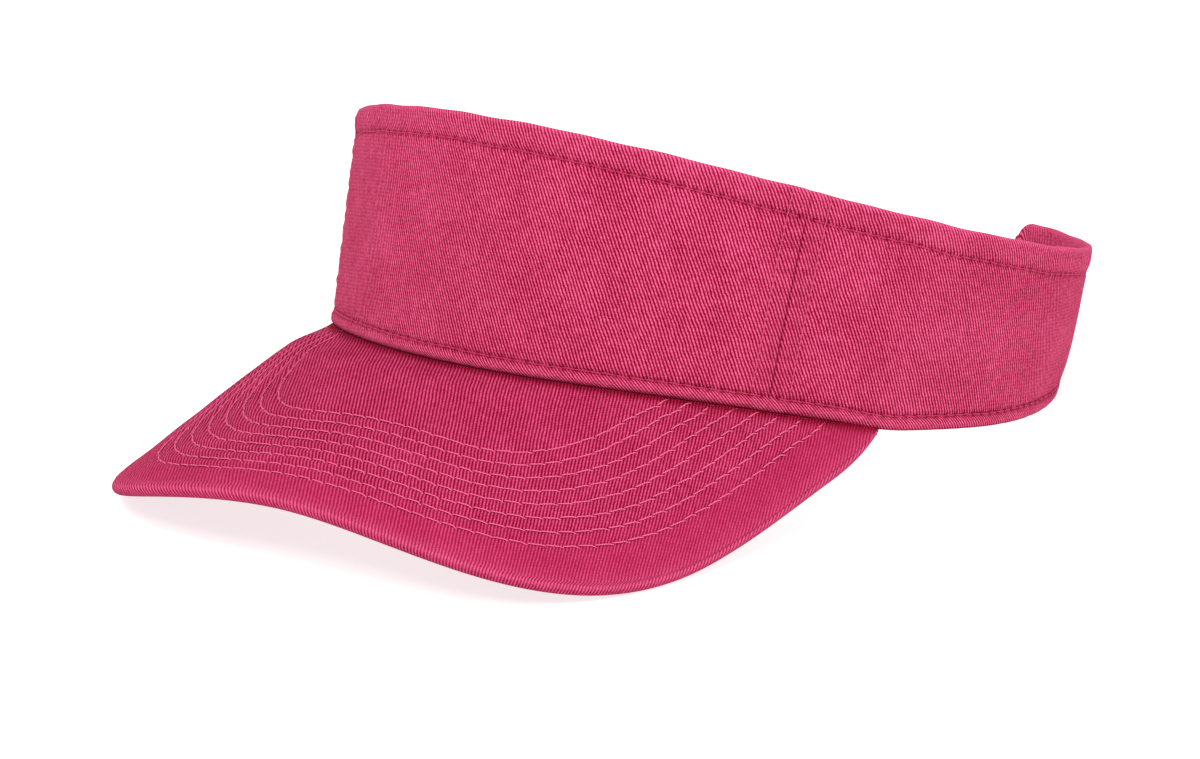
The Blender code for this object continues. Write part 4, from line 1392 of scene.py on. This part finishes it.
FLOOR_HEIGHT = -0.3 * MM


class VISOR_OT_stage(bpy.types.Operator):
    """Sets the pale floor, the soft lights and the camera"""

    bl_idname = "visor.stage"
    bl_label = "Stage"

    def execute(self, context):
        scene = context.scene
        scene.view_settings.view_transform = "Standard"
        self.floor()
        self.lights(scene)
        self.camera(scene)
        return {"FINISHED"}

    def floor(self):
        """A wide pale sheet, lit a little from beneath as a light table is."""
        steps = np.linspace(-4.0, 4.0, 9)
        x, y = np.meshgrid(steps, steps, indexing="ij")
        points = np.stack([x, y, np.full_like(x, FLOOR_HEIGHT)], -1).reshape(-1, 3)
        mesh = bpy.data.meshes.new("pale_floor")
        mesh.from_pydata(points.tolist(), [], grid_quads(9, 9).tolist())
        made = bpy.data.materials.new("pale_floor")
        made.use_nodes = True
        shader = made.node_tree.nodes["Principled BSDF"]
        shader.inputs["Roughness"].default_value = 0.9
        shader.inputs["Specular IOR Level"].default_value = 0.0
        net = Net(made.node_tree)
        cloud = net.noise(net.add("ShaderNodeTexCoord").outputs["Object"], 3.0, 2.0)
        net.put(shader.inputs["Base Color"],
                net.mix(cloud, colour((0.43, 0.43, 0.43)), colour((0.46, 0.46, 0.46))))
        shader.inputs["Emission Color"].default_value = colour((1.0, 1.0, 1.0))
        shader.inputs["Emission Strength"].default_value = 0.75
        floor = new_object("pale_floor", mesh, made)

    def lights(self, scene):
        """An even pale sky, a large soft key from the front left and a low fill."""
        world = bpy.data.worlds.new("studio")
        world.use_nodes = True
        world.node_tree.nodes["Background"].inputs[0].default_value = colour((1.0, 1.0, 1.0))
        world.node_tree.nodes["Background"].inputs[1].default_value = 0.60
        scene.world = world
        for name, place, size, power in (
                ("key", (1.1, 0.15, 1.5), 1.1, 34.0),
                ("side", (-0.7, 1.5, 0.7), 1.2, 18.0),
                ("back", (-1.4, -0.6, 1.2), 1.2, 8.0)):
            lamp = bpy.data.lights.new(name, "AREA")
            lamp.size = size
            lamp.energy = power
            light = bpy.data.objects.new(name, lamp)
            light.location = place
            aim = Vector((0.0, 0.0, 0.03)) - Vector(place)
            light.rotation_euler = aim.to_track_quat("-Z", "Y").to_euler()
            scene.collection.objects.link(light)

    def camera(self, scene):
        """The eye is turned round the middle of the view, rolled, and moved back."""
        back = np.array((np.cos(VIEW_SIDE) * np.cos(VIEW_ABOVE),
                         np.sin(VIEW_SIDE) * np.cos(VIEW_ABOVE), np.sin(VIEW_ABOVE)))
        level = np.cross(-back, (0.0, 0.0, 1.0))
        level /= np.linalg.norm(level)
        upright = np.cross(level, -back)
        right = level * np.cos(VIEW_ROLL) + upright * np.sin(VIEW_ROLL)
        up = -level * np.sin(VIEW_ROLL) + upright * np.cos(VIEW_ROLL)
        eye = VIEW_MIDDLE + VIEW_SHIFT[0] * right + VIEW_SHIFT[1] * up + VIEW_DISTANCE * back
        eye, right, up, back = to_table(eye), tilt(right), tilt(up), tilt(back)
        turned = Matrix(np.stack([right, up, back], 1).tolist()).to_4x4()
        lens = bpy.data.cameras.new("studio_camera")
        lens.lens = VIEW_LENS
        lens.sensor_width = 36.0
        lens.clip_start, lens.clip_end = 0.05, 20.0
        camera = bpy.data.objects.new("studio_camera", lens)
        camera.matrix_world = Matrix.Translation(Vector(eye)) @ turned
        scene.collection.objects.link(camera)
        scene.camera = camera


class VISOR_PT_build(bpy.types.Panel):
    """The visor's settings and one button for each group of its pieces"""

    bl_idname = "VISOR_PT_build"
    bl_label = "Twill Sun Visor"
    bl_space_type = "VIEW_3D"
    bl_region_type = "UI"
    bl_category = "Visor"

    def draw(self, context):
        for settings in (context.scene.visor_cloth, context.scene.visor_stitching):
            box = self.layout.box()
            for label in settings.bl_rna.properties.keys():
                if label not in {"rna_type", "name"}:
                    box.prop(settings, label)
        for operator in OPERATORS:
            self.layout.operator(operator.bl_idname)


OPERATORS = (
    VISOR_OT_stage,
    VISOR_OT_panels,
    VISOR_OT_linings,
    VISOR_OT_bill,
    VISOR_OT_band_stitching,
    VISOR_OT_bill_stitching,
    VISOR_OT_closure,
)

CLASSES = (VisorCloth, VisorStitching) + OPERATORS + (VISOR_PT_build,)


def register():
    for item in CLASSES:
        bpy.utils.register_class(item)
    bpy.types.Scene.visor_cloth = bpy.props.PointerProperty(type=VisorCloth)
    bpy.types.Scene.visor_stitching = bpy.props.PointerProperty(type=VisorStitching)


def unregister():
    del bpy.types.Scene.visor_stitching
    del bpy.types.Scene.visor_cloth
    for item in reversed(CLASSES):
        bpy.utils.unregister_class(item)


def main():
    """Builds the stage and every piece."""
    register()
    bpy.ops.visor.stage()
    bpy.ops.visor.panels()
    bpy.ops.visor.linings()
    bpy.ops.visor.bill()
    bpy.ops.visor.band_stitching()
    bpy.ops.visor.bill_stitching()
    bpy.ops.visor.closure()


if __name__ == "__main__":
    main()
